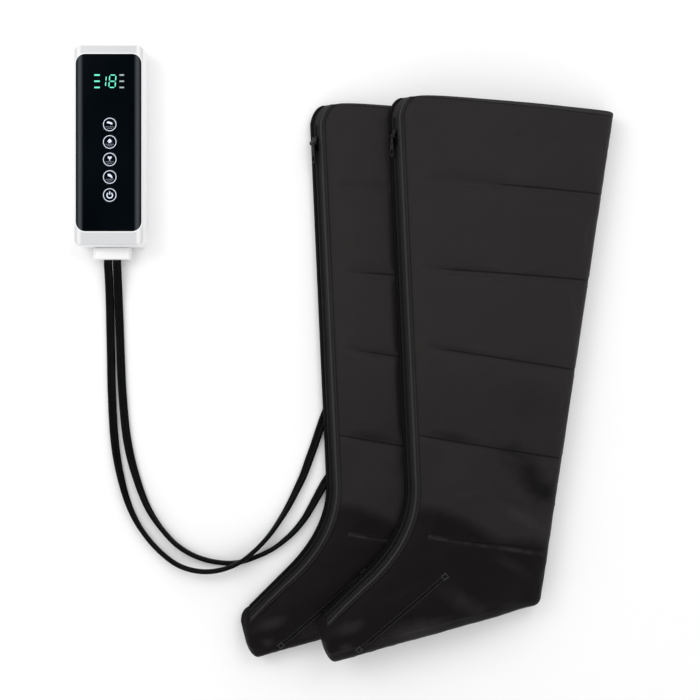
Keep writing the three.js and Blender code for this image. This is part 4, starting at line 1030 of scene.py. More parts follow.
def foot_rows(count, end=1.0):
    steps = np.linspace(0, 1, count + 1)[1:]
    knots = np.linspace(0, 1, len(FOOT_SHARES))
    behind, before = (np.interp(steps, knots, shares) * end for shares in zip(*FOOT_SHARES))
    return [row(FOOT_BACK.at(low), FOOT_FRONT.at(high)) for low, high in zip(behind, before)]


def nose_rows():
    """Rows that round the toe off."""
    rows = []
    for step in range(1, NOSE_ROWS + 1):
        turn = step / NOSE_ROWS * math.pi / 2
        low, high = (
            sole_point(along + out * math.sin(turn), height + close * (1 - math.cos(turn)))
            for (along, height), (out, close) in (((SOLE_LENGTH, 0), NOSE_LOW), (TOE_TOP, NOSE_HIGH)))
        rows.append(row(low, high, plump=max(math.cos(turn), 0.12)))
    return rows


def tunnel_lifts(at):
    """How far the left boot rises over the other boot's hose: at its front edge, and across."""
    if at.level is None:
        over_hose = at.back[0] < ANKLE[0] + 1 and at.front[0] > 60
        lift = HOSE_TUNNEL * smooth(1 - (ANKLE[0] - at.back[0]) / 30) if over_hose else 0.0
        return lift, lift
    return tuple(HOSE_TUNNEL * smooth((start - at.level) / run) for start, run in (TUNNEL_FRONT, TUNNEL_ACROSS))


def loop_points(at, side):
    """The section's corner points as (distance from the back fold, height)."""
    top = BOOT_THICKNESS
    front_lift, across_lift = tunnel_lifts(at) if side == "left" else (0.0, 0.0)
    undercut = min(8.0 + 16.0 * front_lift / HOSE_TUNNEL, 0.15 * at.width)
    columns = [lerp(at.fold, at.reach, k / 4) for k in (1, 2, 3, 4)]
    middle = (at.reach + at.shoulder) / 2
    points = [
        (0, top / 2), (0.29 * at.fold, max(0.15 * top, across_lift + 2)), (at.fold, across_lift),
        *((column, across_lift) for column in columns),
        (middle, front_lift), (at.shoulder, front_lift), (at.width - undercut, front_lift),
        (at.width, FACE_BOTTOM_RISE), (at.width - at.run, top - FACE_TOP_DROP),
        (at.shoulder, top - SHOULDER_DROP), (middle, top),
        *((column, top) for column in reversed(columns)),
        (at.fold, top - 1.5), (0.29 * at.fold, 0.82 * top),
    ]
    return np.array([(a, lerp(top / 2, h, at.plump)) for a, h in points])


def spline_section(at, side):
    """A smooth closed line through the section's points, with its face kept straight."""
    corners = loop_points(at, side)
    drawn = []
    for i, steps in enumerate(STRETCHES):
        near = [corners[(i + k) % len(corners)] for k in (-1, 0, 1, 2)]
        knots = [0.0]
        for a, b in zip(near, near[1:]):
            knots.append(knots[-1] + max(float(np.linalg.norm(b - a)), 1e-3) ** 0.5)
        for step in range(steps):
            if i == FACE:
                drawn.append(lerp(near[1], near[2], step / steps))
                continue
            t = lerp(knots[1], knots[2], step / steps)
            line = near
            for apart in (1, 2):
                line = [
                    lerp(a, b, (t - low) / (high - low))
                    for a, b, low, high in zip(line, line[1:], knots, knots[apart:])]
            drawn.append(lerp(*line, step / steps))
    return np.array(drawn)


def lie(at, along, height, side):
    """Where a point of a section lies; the right boot's back sinks to the floor and spreads a little."""
    spot = at.back + at.along * along
    if side == "left":
        return spot[0], spot[1], height
    rest = PILE_HEIGHT * (1 - smooth((at.reach - max(along, 0.0)) / DRAPE_RUN))
    gentle = PILE_HEIGHT * (1 - smooth((at.reach + SAG_BEFORE - along) / SAG_RUN))
    rest += (gentle - rest) * smooth((height - SHEET_FROM) / SHEET_BLEND)
    spot = spot + (spot - SPREAD_MIDDLE) * DRAPE_SPREAD * (1 - rest / PILE_HEIGHT)
    return spot[0], spot[1], height + rest


def surface(rows, side):
    """Grid of points in the boot's own frame, and the same points' pattern places."""
    points, places = [], []
    for at in rows:
        section = spline_section(at, side)
        points.append([lie(at, along, height, side) for along, height in section])
        places.append([at.back + at.along * along for along, _ in section])
    return np.array(points), np.array(places)


def grid_normals(points):
    """The outward directions of a grid whose rows close on themselves."""
    across = np.roll(points, -1, axis=1) - np.roll(points, 1, axis=1)
    normals = np.cross(across, np.gradient(points, axis=0))
    normals /= np.maximum(np.linalg.norm(normals, axis=2, keepdims=True), 1e-9)
    inwards = np.sum(normals * (points - points.mean(axis=1, keepdims=True))) < 0
    return -normals if inwards else normals


def to_world(points, side):
    """From the boot's own frame to where the boot lies."""
    x, y = leaned(points[..., 0], points[..., 1])
    return np.stack([HEELS[side].x + x, HEELS[side].y + y, points[..., 2]], axis=-1)


def world_line(line, side):
    """The same for a line of (point, outward direction) pairs."""
    world = to_world(np.array([tuple(point) for point, _ in line]), side)
    return [(tuple(point), (*leaned(out.x, out.y), out.z)) for point, (_, out) in zip(world, line)]


def with_tip(grid):
    """A grid's points in one line, and after them the middle of its last row."""
    return np.vstack([grid.reshape(-1, grid.shape[-1]), grid[-1].mean(axis=0)])


# Soft creases as (from, to, width, height) in pattern millimetres; a negative height sinks in
CREASES = [
    ((96, 22), (38, 118), 15, 1.5), ((150, 12), (96, 66), 20, 1.3), ((160, 60), (112, 128), 16, -1.0),
    ((60, 6), (6, 60), 13, 1.2), ((36, 40), (-28, 84), 11, 0.9), ((124, 130), (78, 160), 9, 1.1),
    ((70, 140), (24, 178), 8, 0.8), ((-60, 205), (-92, 240), 7, 1.2), ((-40, 178), (-72, 216), 8, -0.8),
    ((-96, 196), (-110, 226), 6, 1.0), ((168, 120), (140, 168), 12, 0.9), ((262, 20), (236, 96), 22, 0.9),
    ((230, 110), (205, 170), 18, -0.7), ((352, 40), (322, 150), 30, 0.8), ((452, 30), (430, 170), 34, 0.7),
    ((10, 20), (-16, 64), 8, 0.8), ((90, 90), (60, 128), 8, -0.8), ((196, 24), (184, 96), 14, 0.9),
]


def line_distance(spots, start, end):
    """How far each spot lies from a line, and the share of the way along at which it is nearest."""
    start, run = np.array(start, float), np.array(end, float) - np.array(start, float)
    share = np.clip(((spots - start) @ run) / (run @ run), 0, 1)
    return np.linalg.norm(spots - start - share[..., None] * run, axis=-1), share


def bell(away, width):
    return np.exp(-((away / width) ** 2))


def soft_relief(places, side, lively, sizes):
    """How far each point of the cover stands out or sinks in: seams, puffs, creases and rumples."""
    seam, wrinkle = sizes.seam_depth / MM, sizes.wrinkle_height / MM
    relief = np.zeros(places.shape[:2])
    fade = np.clip((SEAM_REACH - places[..., 1]) / SEAM_FADE, 0.0, 1)
    for back, front in LEG_SEAMS + [ANKLE_SEAM]:
        away, _ = line_distance(places, (back, 0), (front, FRONT_LINE))
        relief -= fade * seam * (0.6 * bell(away, SEAM_GROOVE) + 0.45 * np.exp(-away / SEAM_DIP))
        relief += fade * 0.5 * seam * bell(away - PUFF_AWAY, PUFF_WIDTH)
    away, _ = line_distance(places, *DART)
    relief -= 0.7 * seam * bell(away, DART_GROOVE) + 0.35 * seam * np.exp(-away / DART_DIP)
    for start, end, width, height in CREASES:
        away, share = line_distance(places, start, end)
        relief += wrinkle * height * bell(away, width) * np.sin(np.pi * np.clip(share, 0.02, 0.98))
    seed = 3.0 if side == "left" else 0.0
    rumples = np.array([
        noise.noise(Vector((x * 0.018 + seed, y * 0.030, seed + 1.7)))
        + 0.5 * noise.noise(Vector((x * 0.055, y * 0.07 + seed, 4.1)))
        + 0.22 * noise.noise(Vector((x * 0.16 + seed, y * 0.19, 9.3)))
        for x, y in places.reshape(-1, 2)]).reshape(places.shape[:2])
    relief += wrinkle * np.clip(1.25 - places[..., 0] / 420.0, 0.45, 1.2) * rumples
    return np.maximum(relief * lively, -DEEPEST_FOLD)


def lay_down(points, places, side):
    """Keeps the cloth above the floor, and the left boot under the right one where that lies on it."""
    heights = points[..., 2]
    np.maximum(heights, CLOTH_LOWEST, out=heights)
    if side == "left":
        up = places[..., 0] + LEFT_SHIFT[0]
        edge = np.interp(up, (ANKLE[0], FRONT_TOP[0]), (ANKLE[1], FRONT_TOP[1])) - LEFT_SHIFT[1]
        free = np.clip((places[..., 1] - edge - 1.0) * 0.5, 0, 6) * (up > ANKLE[0] + 10)
        np.minimum(heights, BOOT_THICKNESS - 0.05 + free, out=heights)
    return points


def held_weights(places):
    """How firmly the air pressure finds each point of the cover held: by seams, edges and the floor."""
    held = bell(line_distance(places, *DART)[0], DART_HOLD)
    fade = np.clip((SEAM_REACH + 15 - places[..., 1]) / 60, 0.06, 1)
    for back, front in LEG_SEAMS + [ANKLE_SEAM]:
        away, _ = line_distance(places, (back, 0), (front, FRONT_LINE))
        held = np.maximum(held, fade * bell(away, SEAM_HOLD))
    held[:, :FACE_END + 2] = 1
    held[:, -3:] = np.maximum(held[:, -3:], 0.8)
    held[:3] = held[-NOSE_ROWS:] = 1
    return held


AIR_CLOTH = {
    "quality": 5, "mass": 0.25, "tension_stiffness": 25, "compression_stiffness": 25, "shear_stiffness": 10,
    "bending_stiffness": 0.15, "air_damping": 2, "vertex_group_mass": "held", "use_pressure": True,
}


def swell(points, held, sizes):
    """Lets air pressure fill the cover between what holds it; gives how far each point moves."""
    count, columns = points.shape[:2]
    picked_rows = sorted({*range(0, count, 2), count - 1})
    picked = list(range(0, columns, 2))
    coarse = points[np.ix_(picked_rows, picked)]
    shell = mesh_object("swelling", coarse.reshape(-1, 3), ring_faces(len(picked_rows), len(picked)), "cover")
    outward(shell, merge=0)
    group = shell.vertex_groups.new(name="held")
    for index, weight in enumerate(held[np.ix_(picked_rows, picked)].ravel()):
        group.add([index], float(weight), "REPLACE")
    cloth = shell.modifiers.new("Air", "CLOTH")
    air = {"uniform_pressure_force": sizes.air_pressure, "shrink_min": -sizes.fullness}
    for name, value in {**AIR_CLOTH, **air}.items():
        setattr(cloth.settings, name, value)
    cloth.settings.effector_weights.gravity = 0
    cloth.collision_settings.use_collision = False
    cloth.point_cache.frame_start = 1
    cloth.point_cache.frame_end = AIR_FRAMES
    scene = bpy.context.scene
    for step in range(1, AIR_FRAMES + 1):
        scene.frame_set(step)
    shown = shell.evaluated_get(bpy.context.evaluated_depsgraph_get())
    places = np.empty(len(shown.data.vertices) * 3)
    shown.data.vertices.foreach_get("co", places)
    moved = places.reshape(coarse.shape) / MM - coarse
    scene.frame_set(1)
    bpy.data.objects.remove(shell)
    closed = np.concatenate([moved, moved[:, :1]], axis=1)
    wide = np.apply_along_axis(
        lambda line: np.interp(range(columns), [*picked, columns], line), 1, closed)
    full = np.apply_along_axis(lambda line: np.interp(range(count), picked_rows, line), 0, wide)
    normals = grid_normals(points)
    outwards = np.sum(full * normals, axis=2, keepdims=True)
    full += (np.clip(outwards, 0, MOST_SWELL) - outwards) * normals
    length = np.linalg.norm(full, axis=2, keepdims=True)
    return full * np.minimum(1, MOST_SWELL / np.maximum(length, 1e-6))


def make_cover(side, sizes):
    """The outer cover, open at its mouth, with its seams drawn in and soft creases."""
    rows = corner_rows(9) + leg_rows(4.2) + foot_rows(58) + nose_rows()
    points, places = surface(rows, side)
    columns = np.arange(COLUMNS)
    lively = np.where(columns > FACE_END, np.minimum(columns - FACE_END, 6) / 6, 0.25)
    lively[FACE_START:FACE_END + 1] = 0
    lively[-6:] *= np.linspace(1, 0.35, 6)
    ends = np.ones(len(rows))
    ends[:10] = np.linspace(0, 1, 10)
    ends[-NOSE_ROWS:] = np.linspace(1, 0.35, NOSE_ROWS)
    points = points + swell(points, held_weights(places), sizes)
    relief = soft_relief(places, side, lively * ends[:, None], sizes)
    points = lay_down(points + grid_normals(points) * relief[..., None], places, side)
    faces = ring_faces(len(rows), COLUMNS) + tip_faces(len(rows), COLUMNS)
    cover = mesh_object(f"{side}_cover_cloth", with_tip(to_world(points, side)), faces, "cover")
    return give_wall(outward(set_pattern(cover, with_tip(places))), CLOTH_THICKNESS)


def front_face(at, side):
    """The slanted front face of a row: its top edge, the way down it, the way out and its length."""
    top = Vector(lie(at, at.width - at.run, BOOT_THICKNESS - FACE_TOP_DROP, side))
    down = Vector(lie(at, at.width, FACE_BOTTOM_RISE, side)) - top
    length = down.length
    down.normalize()
    out = Vector((-down.z * at.along[0], -down.z * at.along[1], math.hypot(down.x, down.y)))
    return SimpleNamespace(top=top, down=down, out=out, length=length)


def off_face(face, down, out):
    return face.top + face.down * down + face.out * out


def face_strip(name, rows, side, profile, finish):
    """A soft strip along the front face; profile gives each row's closed line of (down, out)."""
    grid, spots = [], []
    travelled, before = 0.0, front_face(rows[0], side).top
    for at in rows:
        face = front_face(at, side)
        travelled += (face.top - before).length
        before = face.top
        line = profile(face, at)
        grid.append([tuple(off_face(face, *place)) for place in line])
        spots.extend((travelled, down) for down, _ in line)
    points = to_world(np.array(grid), side).reshape(-1, 3)
    strip = mesh_object(name, points, capped_faces(len(rows), len(grid[0])), finish, crease=50)
    return outward(set_pattern(strip, spots))


def crowned(start, end, low, high, steps=7):
    """A flat band's closed profile with rounded edges and a slightly raised middle."""
    shares = [k / steps for k in range(steps + 1)]
    line = [(lerp(start, end, share), high * (1 - 0.65 * abs(2 * share - 1) ** 5)) for share in shares]
    return line + [(end, low), (start, low)]


def fold_over(at):
    """How far the near tape folds over at the face's top edge, and how far it reaches past it."""
    run, fall = at.width - at.run - at.shoulder, FACE_TOP_DROP - SHOULDER_DROP
    tilt = math.atan2(FACE_SLOPE, at.run) - math.atan2(fall, run)
    return tilt, min(BINDING_REACH, math.hypot(run, fall))


def over_sheet(tilt, along, off):
    """A place over the top sheet as (down, out) of the front face."""
    cos, sin = math.cos(tilt), math.sin(tilt)
    return -cos * along - sin * off, -sin * along + cos * off


def near_profile(face, at):
    """Tape folded over the edge between the top sheet and the front face."""
    tilt, reach = fold_over(at)
    low, high = GAP, GAP + (BINDING_HIGH - GAP) * max(at.plump, 0.15)
    rounding = [(0, low + 0.3 * (high - low)), (0.35, high - 0.25), (1.3, high)]
    line = [(BINDING_REACH - inset, off) for inset, off in rounding]
    for k in range(7):
        turn = tilt * k / 6
        line.append((-math.sin(turn) * high, math.cos(turn) * high))
    line += [over_sheet(tilt, reach - inset, off) for inset, off in reversed(rounding)]
    return line + [over_sheet(tilt, reach, low), (-low * math.tan(tilt / 2), low), (BINDING_REACH, low)]


def far_profile(face, at):
    return crowned(face.length - BINDING_REACH, face.length + 1, GAP, BINDING_HIGH)


def zip_profile(way):
    def profile(face, at):
        middle = face.length / 2
        return crowned(middle + way * TAPE_FROM, middle + way * TAPE_TO, GAP, TAPE_HIGH, steps=4)
    return profile


def edge_rows():
    """Rows for what runs along the front edge, evenly down the leg and round the foot."""
    heights = np.linspace(FRONT_TOP[0], ANKLE[0], 110)
    return [row((height, 0), front_at(height), level=height) for height in heights] + foot_rows(70)


def make_bindings(side):
    rows = corner_rows(12) + edge_rows()
    for step, at in enumerate(rows[-8:]):
        at.plump = 1 - step / 8
    for edge, profile, finish in (("near", near_profile, "binding"), ("far", far_profile, "shadow binding")):
        tape = face_strip(f"{side}_{edge}_tape", rows, side, profile, finish)
        stand_for(tape, f"{side}_{edge}_binding")
    make_mouth_roll(side)


def inner_ring(back, front, side, inwards):
    """The boot's section between two points, moved inwards."""
    at = row(back, front)
    section = spline_section(at, side)
    run = np.roll(section, -1, axis=0) - np.roll(section, 1, axis=0)
    out = np.column_stack([run[:, 1], -run[:, 0]])
    out /= np.maximum(np.linalg.norm(out, axis=1, keepdims=True), 1e-9)
    if np.sum(out * (section - section.mean(axis=0))) < 0:
        out = -out
    return [lie(at, along, height, side) for along, height in section - out * inwards]


def make_mouth_roll(side):
    """The rolled tape round the boot's mouth: a thick band with a rounded rim."""
    start = np.array([(BACK_LENGTH - MOUTH_BINDING, 0), MOUTH_CORNER.at(CORNER_START) + (GAP, 0)])
    end = np.array([(BACK_LENGTH, 0), MOUTH_FRONT])
    shares = [k / 8 for k in range(9)]
    places = [*zip(shares, ROLL_OUTSIDE)]
    places += [(share, LINING_DEPTH + LINING_WALL - up) for share, up in zip(reversed(shares), ROLL_INSIDE)]
    grid = np.array([inner_ring(*lerp(start, end, share), side, inwards) for share, inwards in places])
    grid[..., 2] = np.maximum(grid[..., 2], ROLL_LOWEST)
    last = (len(grid) - 1) * COLUMNS
    faces = ring_faces(len(grid), COLUMNS)
    faces += [(last + i, last + (i + 1) % COLUMNS, (i + 1) % COLUMNS, i) for i in range(COLUMNS)]
    piece = mesh_object(f"{side}_mouth_tape", to_world(grid, side).reshape(-1, 3), faces, "lit_hem", crease=60)
    set_pattern(piece, [(r, i * 2.6) for r in range(len(grid)) for i in range(COLUMNS)])
    stand_for(outward(piece), f"{side}_mouth_binding")


def sleeve(name, rows, side, depth, wall, finish, whole=False):
    """A sheet at a depth under the cover's outer face; unless whole it is open at its face and its end."""
    grid = np.array([inner_ring(at.back, at.front, side, depth) for at in rows])
    world = to_world(grid, side)
    spots = [at.back + at.along * along for at in rows for along, _ in spline_section(at, side)]
    faces = ring_faces(len(rows), COLUMNS)
    if whole:
        faces += tip_faces(len(rows), COLUMNS)
        points, spots = with_tip(world), spots + [rows[-1].back]
    else:
        faces = [face for face in faces if not FACE_START - 2 <= face[0] % COLUMNS < FACE_END + 2]
        points = world.reshape(-1, 3)
    return give_wall(outward(set_pattern(mesh_object(name, points, faces, finish), spots)), wall)


def make_linings(side):
    leg, foot = leg_rows(12), foot_rows(24)
    rows = corner_rows(5) + leg + foot_rows(24, end=0.86)
    lining = sleeve(f"{side}_lining_cloth", rows, side, LINING_DEPTH, LINING_WALL, "lining", whole=True)
    stand_for(lining, f"{side}_inner_lining")
    bladders = {
        "thigh": [at for at in leg if at.back[0] >= THIGH_END],
        "calf": [at for at in leg if at.back[0] <= CALF_START] + foot[:2],
        "foot": foot[5:19],
    }
    for part, chosen in bladders.items():
        film = sleeve(f"{side}_{part}_film", chosen, side, BLADDER_DEPTH, BLADDER_WALL, "bladder")
        stand_for(film, f"{side}_{part}_bladder")


# Stitches and teeth, set out along their lines by geometry nodes
def row_tree():
    """Sets a small rounded body out along lines, each turned to its line and to the side it faces."""
    group = bpy.data.node_groups.new("Set Out Along Lines", "GeometryNodeTree")
    group.is_modifier = True
    group.interface.new_socket("Geometry", in_out="OUTPUT", socket_type="NodeSocketGeometry")
    group.interface.new_socket("Lines", in_out="INPUT", socket_type="NodeSocketGeometry")
    sizes = {"Pitch": 0.004, "Length": 0.003, "Width": 0.0006, "Height": 0.0005, "Sway": 0.0}
    for label, start in sizes.items():
        group.interface.new_socket(label, in_out="INPUT", socket_type="NodeSocketFloat").default_value = start
    group.interface.new_socket("Finish", in_out="INPUT", socket_type="NodeSocketMaterial")
    tree = Tree(group)
    lines, pitch, length, width, height, sway, finish = tree.wires(tree.add("NodeGroupInput").outputs)[:7]
    curves = tree.out("GeometryNodeMeshToCurve", 0, {"Mesh": lines})
    spaced = tree.out("GeometryNodeResampleCurve", 0, {"Curve": curves, "Length": pitch}, mode="LENGTH")
    along = tree.out("GeometryNodeInputTangent", 0)
    facing = tree.out("GeometryNodeInputNamedAttribute", 0, {"Name": "facing"}, data_type="FLOAT_VECTOR")
    turn = tree.out("FunctionNodeAlignRotationToVector", 0, {"Vector": along}, axis="X", pivot_axis="AUTO")
    turn = tree.out(
        "FunctionNodeAlignRotationToVector", 0, {"Rotation": turn, "Vector": facing}, axis="Z", pivot_axis="X")
    chance = tree.out("FunctionNodeRandomValue", 1, {2: -1.0, 3: 1.0, "Seed": 7}, data_type="FLOAT")
    swung = tree.out("ShaderNodeCombineXYZ", 0, {2: chance * sway})
    swing = tree.out("FunctionNodeEulerToRotation", 0, {0: swung})
    turn = tree.out("FunctionNodeRotateRotation", 0, {0: turn, 1: swing}, rotation_space="LOCAL")
    body = tree.out("GeometryNodeMeshUVSphere", "Mesh", {"Segments": 6, "Rings": 4, "Radius": 0.5})
    size = tree.out("ShaderNodeCombineXYZ", 0, {0: length, 1: width, 2: height})
    bodies = tree.out(
        "GeometryNodeInstanceOnPoints", 0, {"Points": spaced, "Instance": body, "Rotation": turn, "Scale": size})
    real = tree.out("GeometryNodeRealizeInstances", 0, {0: bodies})
    rounded = tree.out("GeometryNodeSetShadeSmooth", 0, {"Geometry": real})
    tree.add("NodeGroupOutput", {
        0: tree.out("GeometryNodeSetMaterial", 0, {"Geometry": rounded, "Material": finish})})
    return group


def set_out(name, lines, slot, finish, pitch, length, width, height, sway=0.0):
    """Sets bodies out along world lines of (point, outward) pairs in millimetres, as one piece."""
    points, edges, facing = [], [], []
    for line in lines:
        if len(line) < 2:
            continue
        start = len(points)
        points.extend(point for point, _ in line)
        facing.extend(tuple(out) for _, out in line)
        edges.extend((start + k, start + k + 1) for k in range(len(line) - 1))
    mesh = bpy.data.meshes.new(name)
    mesh.from_pydata(in_metres(points), edges, [])
    held = mesh.attributes.new("facing", "FLOAT_VECTOR", "POINT")
    held.data.foreach_set("vector", np.array(facing, dtype=np.float32).ravel())
    piece = place_in_scene(name, mesh)
    group = bpy.data.node_groups.get("Set Out Along Lines") or row_tree()
    rows = piece.modifiers.new("Rows", "NODES")
    rows.node_group = group
    values = {"Pitch": pitch * MM, "Length": length * MM, "Width": width * MM, "Height": height * MM,
              "Sway": sway, "Finish": FINISHES[finish]}
    for socket in group.interface.items_tree:
        if socket.in_out == "INPUT" and socket.name in values:
            rows[socket.identifier] = values[socket.name]
    return go_along(settle(piece))


class Ground:
    """A sewn piece's surface, for finding where a stitch meets it."""

    def __init__(self, piece):
        mesh = piece.data
        points = np.empty(len(mesh.vertices) * 3)
        mesh.vertices.foreach_get("co", points)
        self.tree = BVHTree.FromPolygons(
            [tuple(point) for point in points.reshape(-1, 3)], [tuple(face.vertices) for face in mesh.polygons])

    def under(self, x, y, proud):
        """Where a line straight down at (x, y) millimetres meets the surface, and which way it faces."""
        hit, normal, _, _ = self.tree.ray_cast(Vector((x * MM, y * MM, 0.3)), Vector((0, 0, -1)))
        return None if hit is None else (hit / MM + normal * proud, normal)


def on_pattern(ground, side, spots, proud):
    """Follows pattern points over the cover's top sheet; the line stops where the sheet ends."""
    line = []
    for spot in spots:
        x, y = leaned(*spot)
        found = ground.under(HEELS[side].x + x, HEELS[side].y + y, proud)
        if found:
            line.append(found)
    return line


def direction(start, end):
    run = np.subtract(end, start)
    return run / np.hypot(*run)


def beside(start, end, away):
    """The ends of a line, moved sideways."""
    dx, dy = direction(start, end)
    return np.add((start, end), (-dy * away, dx * away))


def sew_cover(side, cover, sizes):
    """Topstitching beside the seams, and the dart's two rows with a small square at each end."""
    ground = Ground(cover)
    pitch = sizes.stitch_pitch / MM
    seam_lines = []
    for back, front in LEG_SEAMS + [STITCHED_ANKLE]:
        end = (lerp(back, front, 0.85), STITCHES_TO["leg" if back > 100 else "foot"])
        for away in (-SEAM_BESIDE, SEAM_BESIDE):
            spots = np.linspace(*beside((back, STITCHES_FROM), end, away), 61)
            seam_lines.append(on_pattern(ground, side, spots, 0.05))
    dart_rows = [
        on_pattern(ground, side, np.linspace(*beside(*DART, away), 71), 0.14)
        for away in (-DART_BESIDE, DART_BESIDE)]
    dx, dy = direction(*DART)
    bars = []
    for x, y in DART:
        for reach in DART_SQUARES:
            turns = [(a * reach, b * reach) for a, b in ((-1, -1), (1, -1), (1, 1), (-1, 1), (-1, -1))]
            square = [(x + dx * a - dy * b, y + dy * a + dx * b) for a, b in turns]
            bars.append(on_pattern(ground, side, square, 0.25))
    for what, lines, finish, *size in (
            ("seam_stitches", seam_lines, "dark thread", pitch, 0.78 * pitch, 0.5, 0.36, 0.05),
            ("dart_stitches", dart_rows, "light thread", 0.8 * pitch, 0.72 * pitch, 0.62, 0.5, 0.06),
            ("dart_bars", bars, "light thread", 1.5, 1.9, 0.7, 0.55, 0.1)):
        set_out(f"{side}_{what}", lines, "cover", finish, *size)


def sew_edges(side, sizes):
    """Stitches along both edges of the folded front tape."""
    sheet, face_line = [], []
    for at in edge_rows()[2:]:
        face = front_face(at, side)
        tilt, reach = fold_over(at)
        place = over_sheet(tilt, reach - 1.5, BINDING_HIGH + 0.06)
        sheet.append((off_face(face, *place), face.out * math.cos(tilt) - face.down * math.sin(tilt)))
        face_line.append((off_face(face, BINDING_REACH - 1.6, BINDING_HIGH + 0.05), face.out))
    lines = [world_line(line, side) for line in (sheet, face_line)]
    pitch = sizes.stitch_pitch / MM
    set_out(f"{side}_edge_stitches", lines, "binding", "tape thread", pitch, 0.72 * pitch, 0.55, 0.35, 0.05)


def make_zipper(side, sizes):
    """Two tapes, and a coil of teeth on each."""
    rows = edge_rows()
    halves = [
        face_strip(f"{side}_zip_tape_{n}", rows, side, zip_profile(way), "tape") for n, way in ((1, 1), (2, -1))]
    stand_for(halves[0], f"{side}_zipper")
    go_along(halves[1])
    lines = []
    for way, first in ((1, 0), (-1, 1)):
        faces = [front_face(at, side) for at in rows[first:]]
        lines.append(world_line([
            (off_face(face, face.length / 2 + way * TEETH_APART, TEETH_HIGH), face.out) for face in faces], side))
    pitch = sizes.tooth_pitch / MM
    set_out(f"{side}_zip_teeth", lines, "zipper", "teeth", pitch, 0.62 * pitch, TOOTH_WIDTH, TOOTH_HEIGHT)


# Controller
def in_case(x, y):
    return CASE_CENTRE.x + x, CASE_CENTRE.y + y


def rounded_ring(size, radius, inset, height, middle=0.0):
    """A level ring with round corners, drawn in from its full size, in world millimetres."""
    r = max(radius - inset, 1.0)
    x, y = size[0] / 2 - inset - r, size[1] / 2 - inset - r
    ring = []
    for cx, cy, start in ((x, y, 0), (-x, y, 90), (-x, -y, 180), (x, -y, 270)):
        for k in range(CORNER_STEPS + 1):
            turn = math.radians(start + 90 * k / CORNER_STEPS)
            ring.append((*in_case(cx + r * math.cos(turn), middle + cy + r * math.sin(turn)), height))
    return ring


def case_ring(inset, height):
    return rounded_ring(CASE_SIZE, CASE_CORNER, inset, height)


def plate_ring(inset, height):
    return rounded_ring(PLATE_SIZE, PLATE_CORNER, inset, height, middle=PLATE_OFFSET)


def stack(name, rings, finish="case"):
    """A closed body between level rings, capped at both ends."""
    points = [point for ring in rings for point in ring]
    return outward(mesh_object(name, points, capped_faces(len(rings), len(rings[0])), finish, crease=40))


def block(xs, ys, zs):
    (x0, y0), (x1, y1) = (in_case(x, y) for x, y in zip(xs, ys))
    return stack("block", [[(x0, y0, z), (x1, y0, z), (x1, y1, z), (x0, y1, z)] for z in zs])


def turned(profile, x, y, steps=48, name="round", finish="case"):
    """A round body about an upright line in the case; profile gives (radius, height)."""
    cx, cy = in_case(x, y)
    turns = [2 * math.pi * k / steps for k in range(steps)]
    return stack(name, [
        [(cx + r * math.cos(turn), cy + r * math.sin(turn), z) for turn in turns] for r, z in profile], finish)


def rounds(radius, low, high, places):
    """Upright round bodies, one at each place in the case."""
    return [turned([(radius, low), (radius, high)], x, y) for x, y in places]


def carve(piece, tools, operation="DIFFERENCE"):
    """Cuts tools out of the piece, or joins them to it, and removes them."""
    for tool in tools:
        cut = piece.modifiers.new("Carve", "BOOLEAN")
        cut.operation = operation
        cut.solver = "EXACT"
        cut.object = tool
    settle(piece)
    for tool in tools:
        mesh = tool.data
        bpy.data.objects.remove(tool)
        bpy.data.meshes.remove(mesh)
    while len(piece.data.materials) > 1:
        piece.data.materials.pop(index=len(piece.data.materials) - 1)
    piece.data.polygons.foreach_set("material_index", [0] * len(piece.data.polygons))
    return piece


def corner_places(place):
    return [(sx * place[0], sy * place[1]) for sx in (1, -1) for sy in (1, -1)]


def arc_profile(points, steps=5):
    """Rounds a profile of (inset, height) points with a smooth line through them."""
    drawn = []
    for p0, p1, p2, p3 in zip([points[0], *points], points, points[1:], [*points[2:], points[-1]]):
        for t in (k / steps for k in range(steps)):
            drawn.append(tuple(
                b + 0.5 * ((c - a) * t + (2 * a - 5 * b + 4 * c - d) * t * t + (3 * b - a - 3 * c + d) * t ** 3)
                for a, b, c, d in zip(p0, p1, p2, p3)))
    return drawn + [points[-1]]


def make_rear_housing():
    """Rear half of the case with its posts, screw holes and the openings in its ends."""
    outside = arc_profile([(8, 0), (4.6, 1.2), *CASE_SIDE, (0, PARTING - 0.5)])
    shell = stack("rear_case", [case_ring(*at) for at in outside + [(0.25, PARTING - 0.15)]])
    inside = [(6.1, CASE_WALL)] + [(inset + CASE_WALL, z) for inset, z in (*CASE_SIDE, (0, PARTING + 4))]
    carve(shell, [stack("hollow", [case_ring(*at) for at in inside])])
    posts = corner_places(POST_PLACE)
    carve(shell, [
        *rounds(POST_RADIUS, CASE_WALL - 0.5, PARTING - GAP, posts),
        *rounds(BOARD_POST_RADIUS, CASE_WALL - 0.5, BOARD_FLOOR, corner_places(BOARD_POSTS))], "UNION")
    screw = [(3.4, -1), (3.4, 3.1), (SCREW_HOLE, 3.1), (SCREW_HOLE, PARTING + 4)]
    half, (wide, high) = CASE_SIZE[1] / 2, GLAND_SLOT
    carve(shell, [
        *(turned(screw, x, y) for x, y in posts),
        block((-wide, wide), (-half - 2, -half + 8), (GLAND_HEIGHT - high, GLAND_HEIGHT + high)),
        block(PORT_HOLE[0], (half - 8, half + 2), PORT_HOLE[1])])
    stand_for(smoothed(shell, 32), "rear_housing")


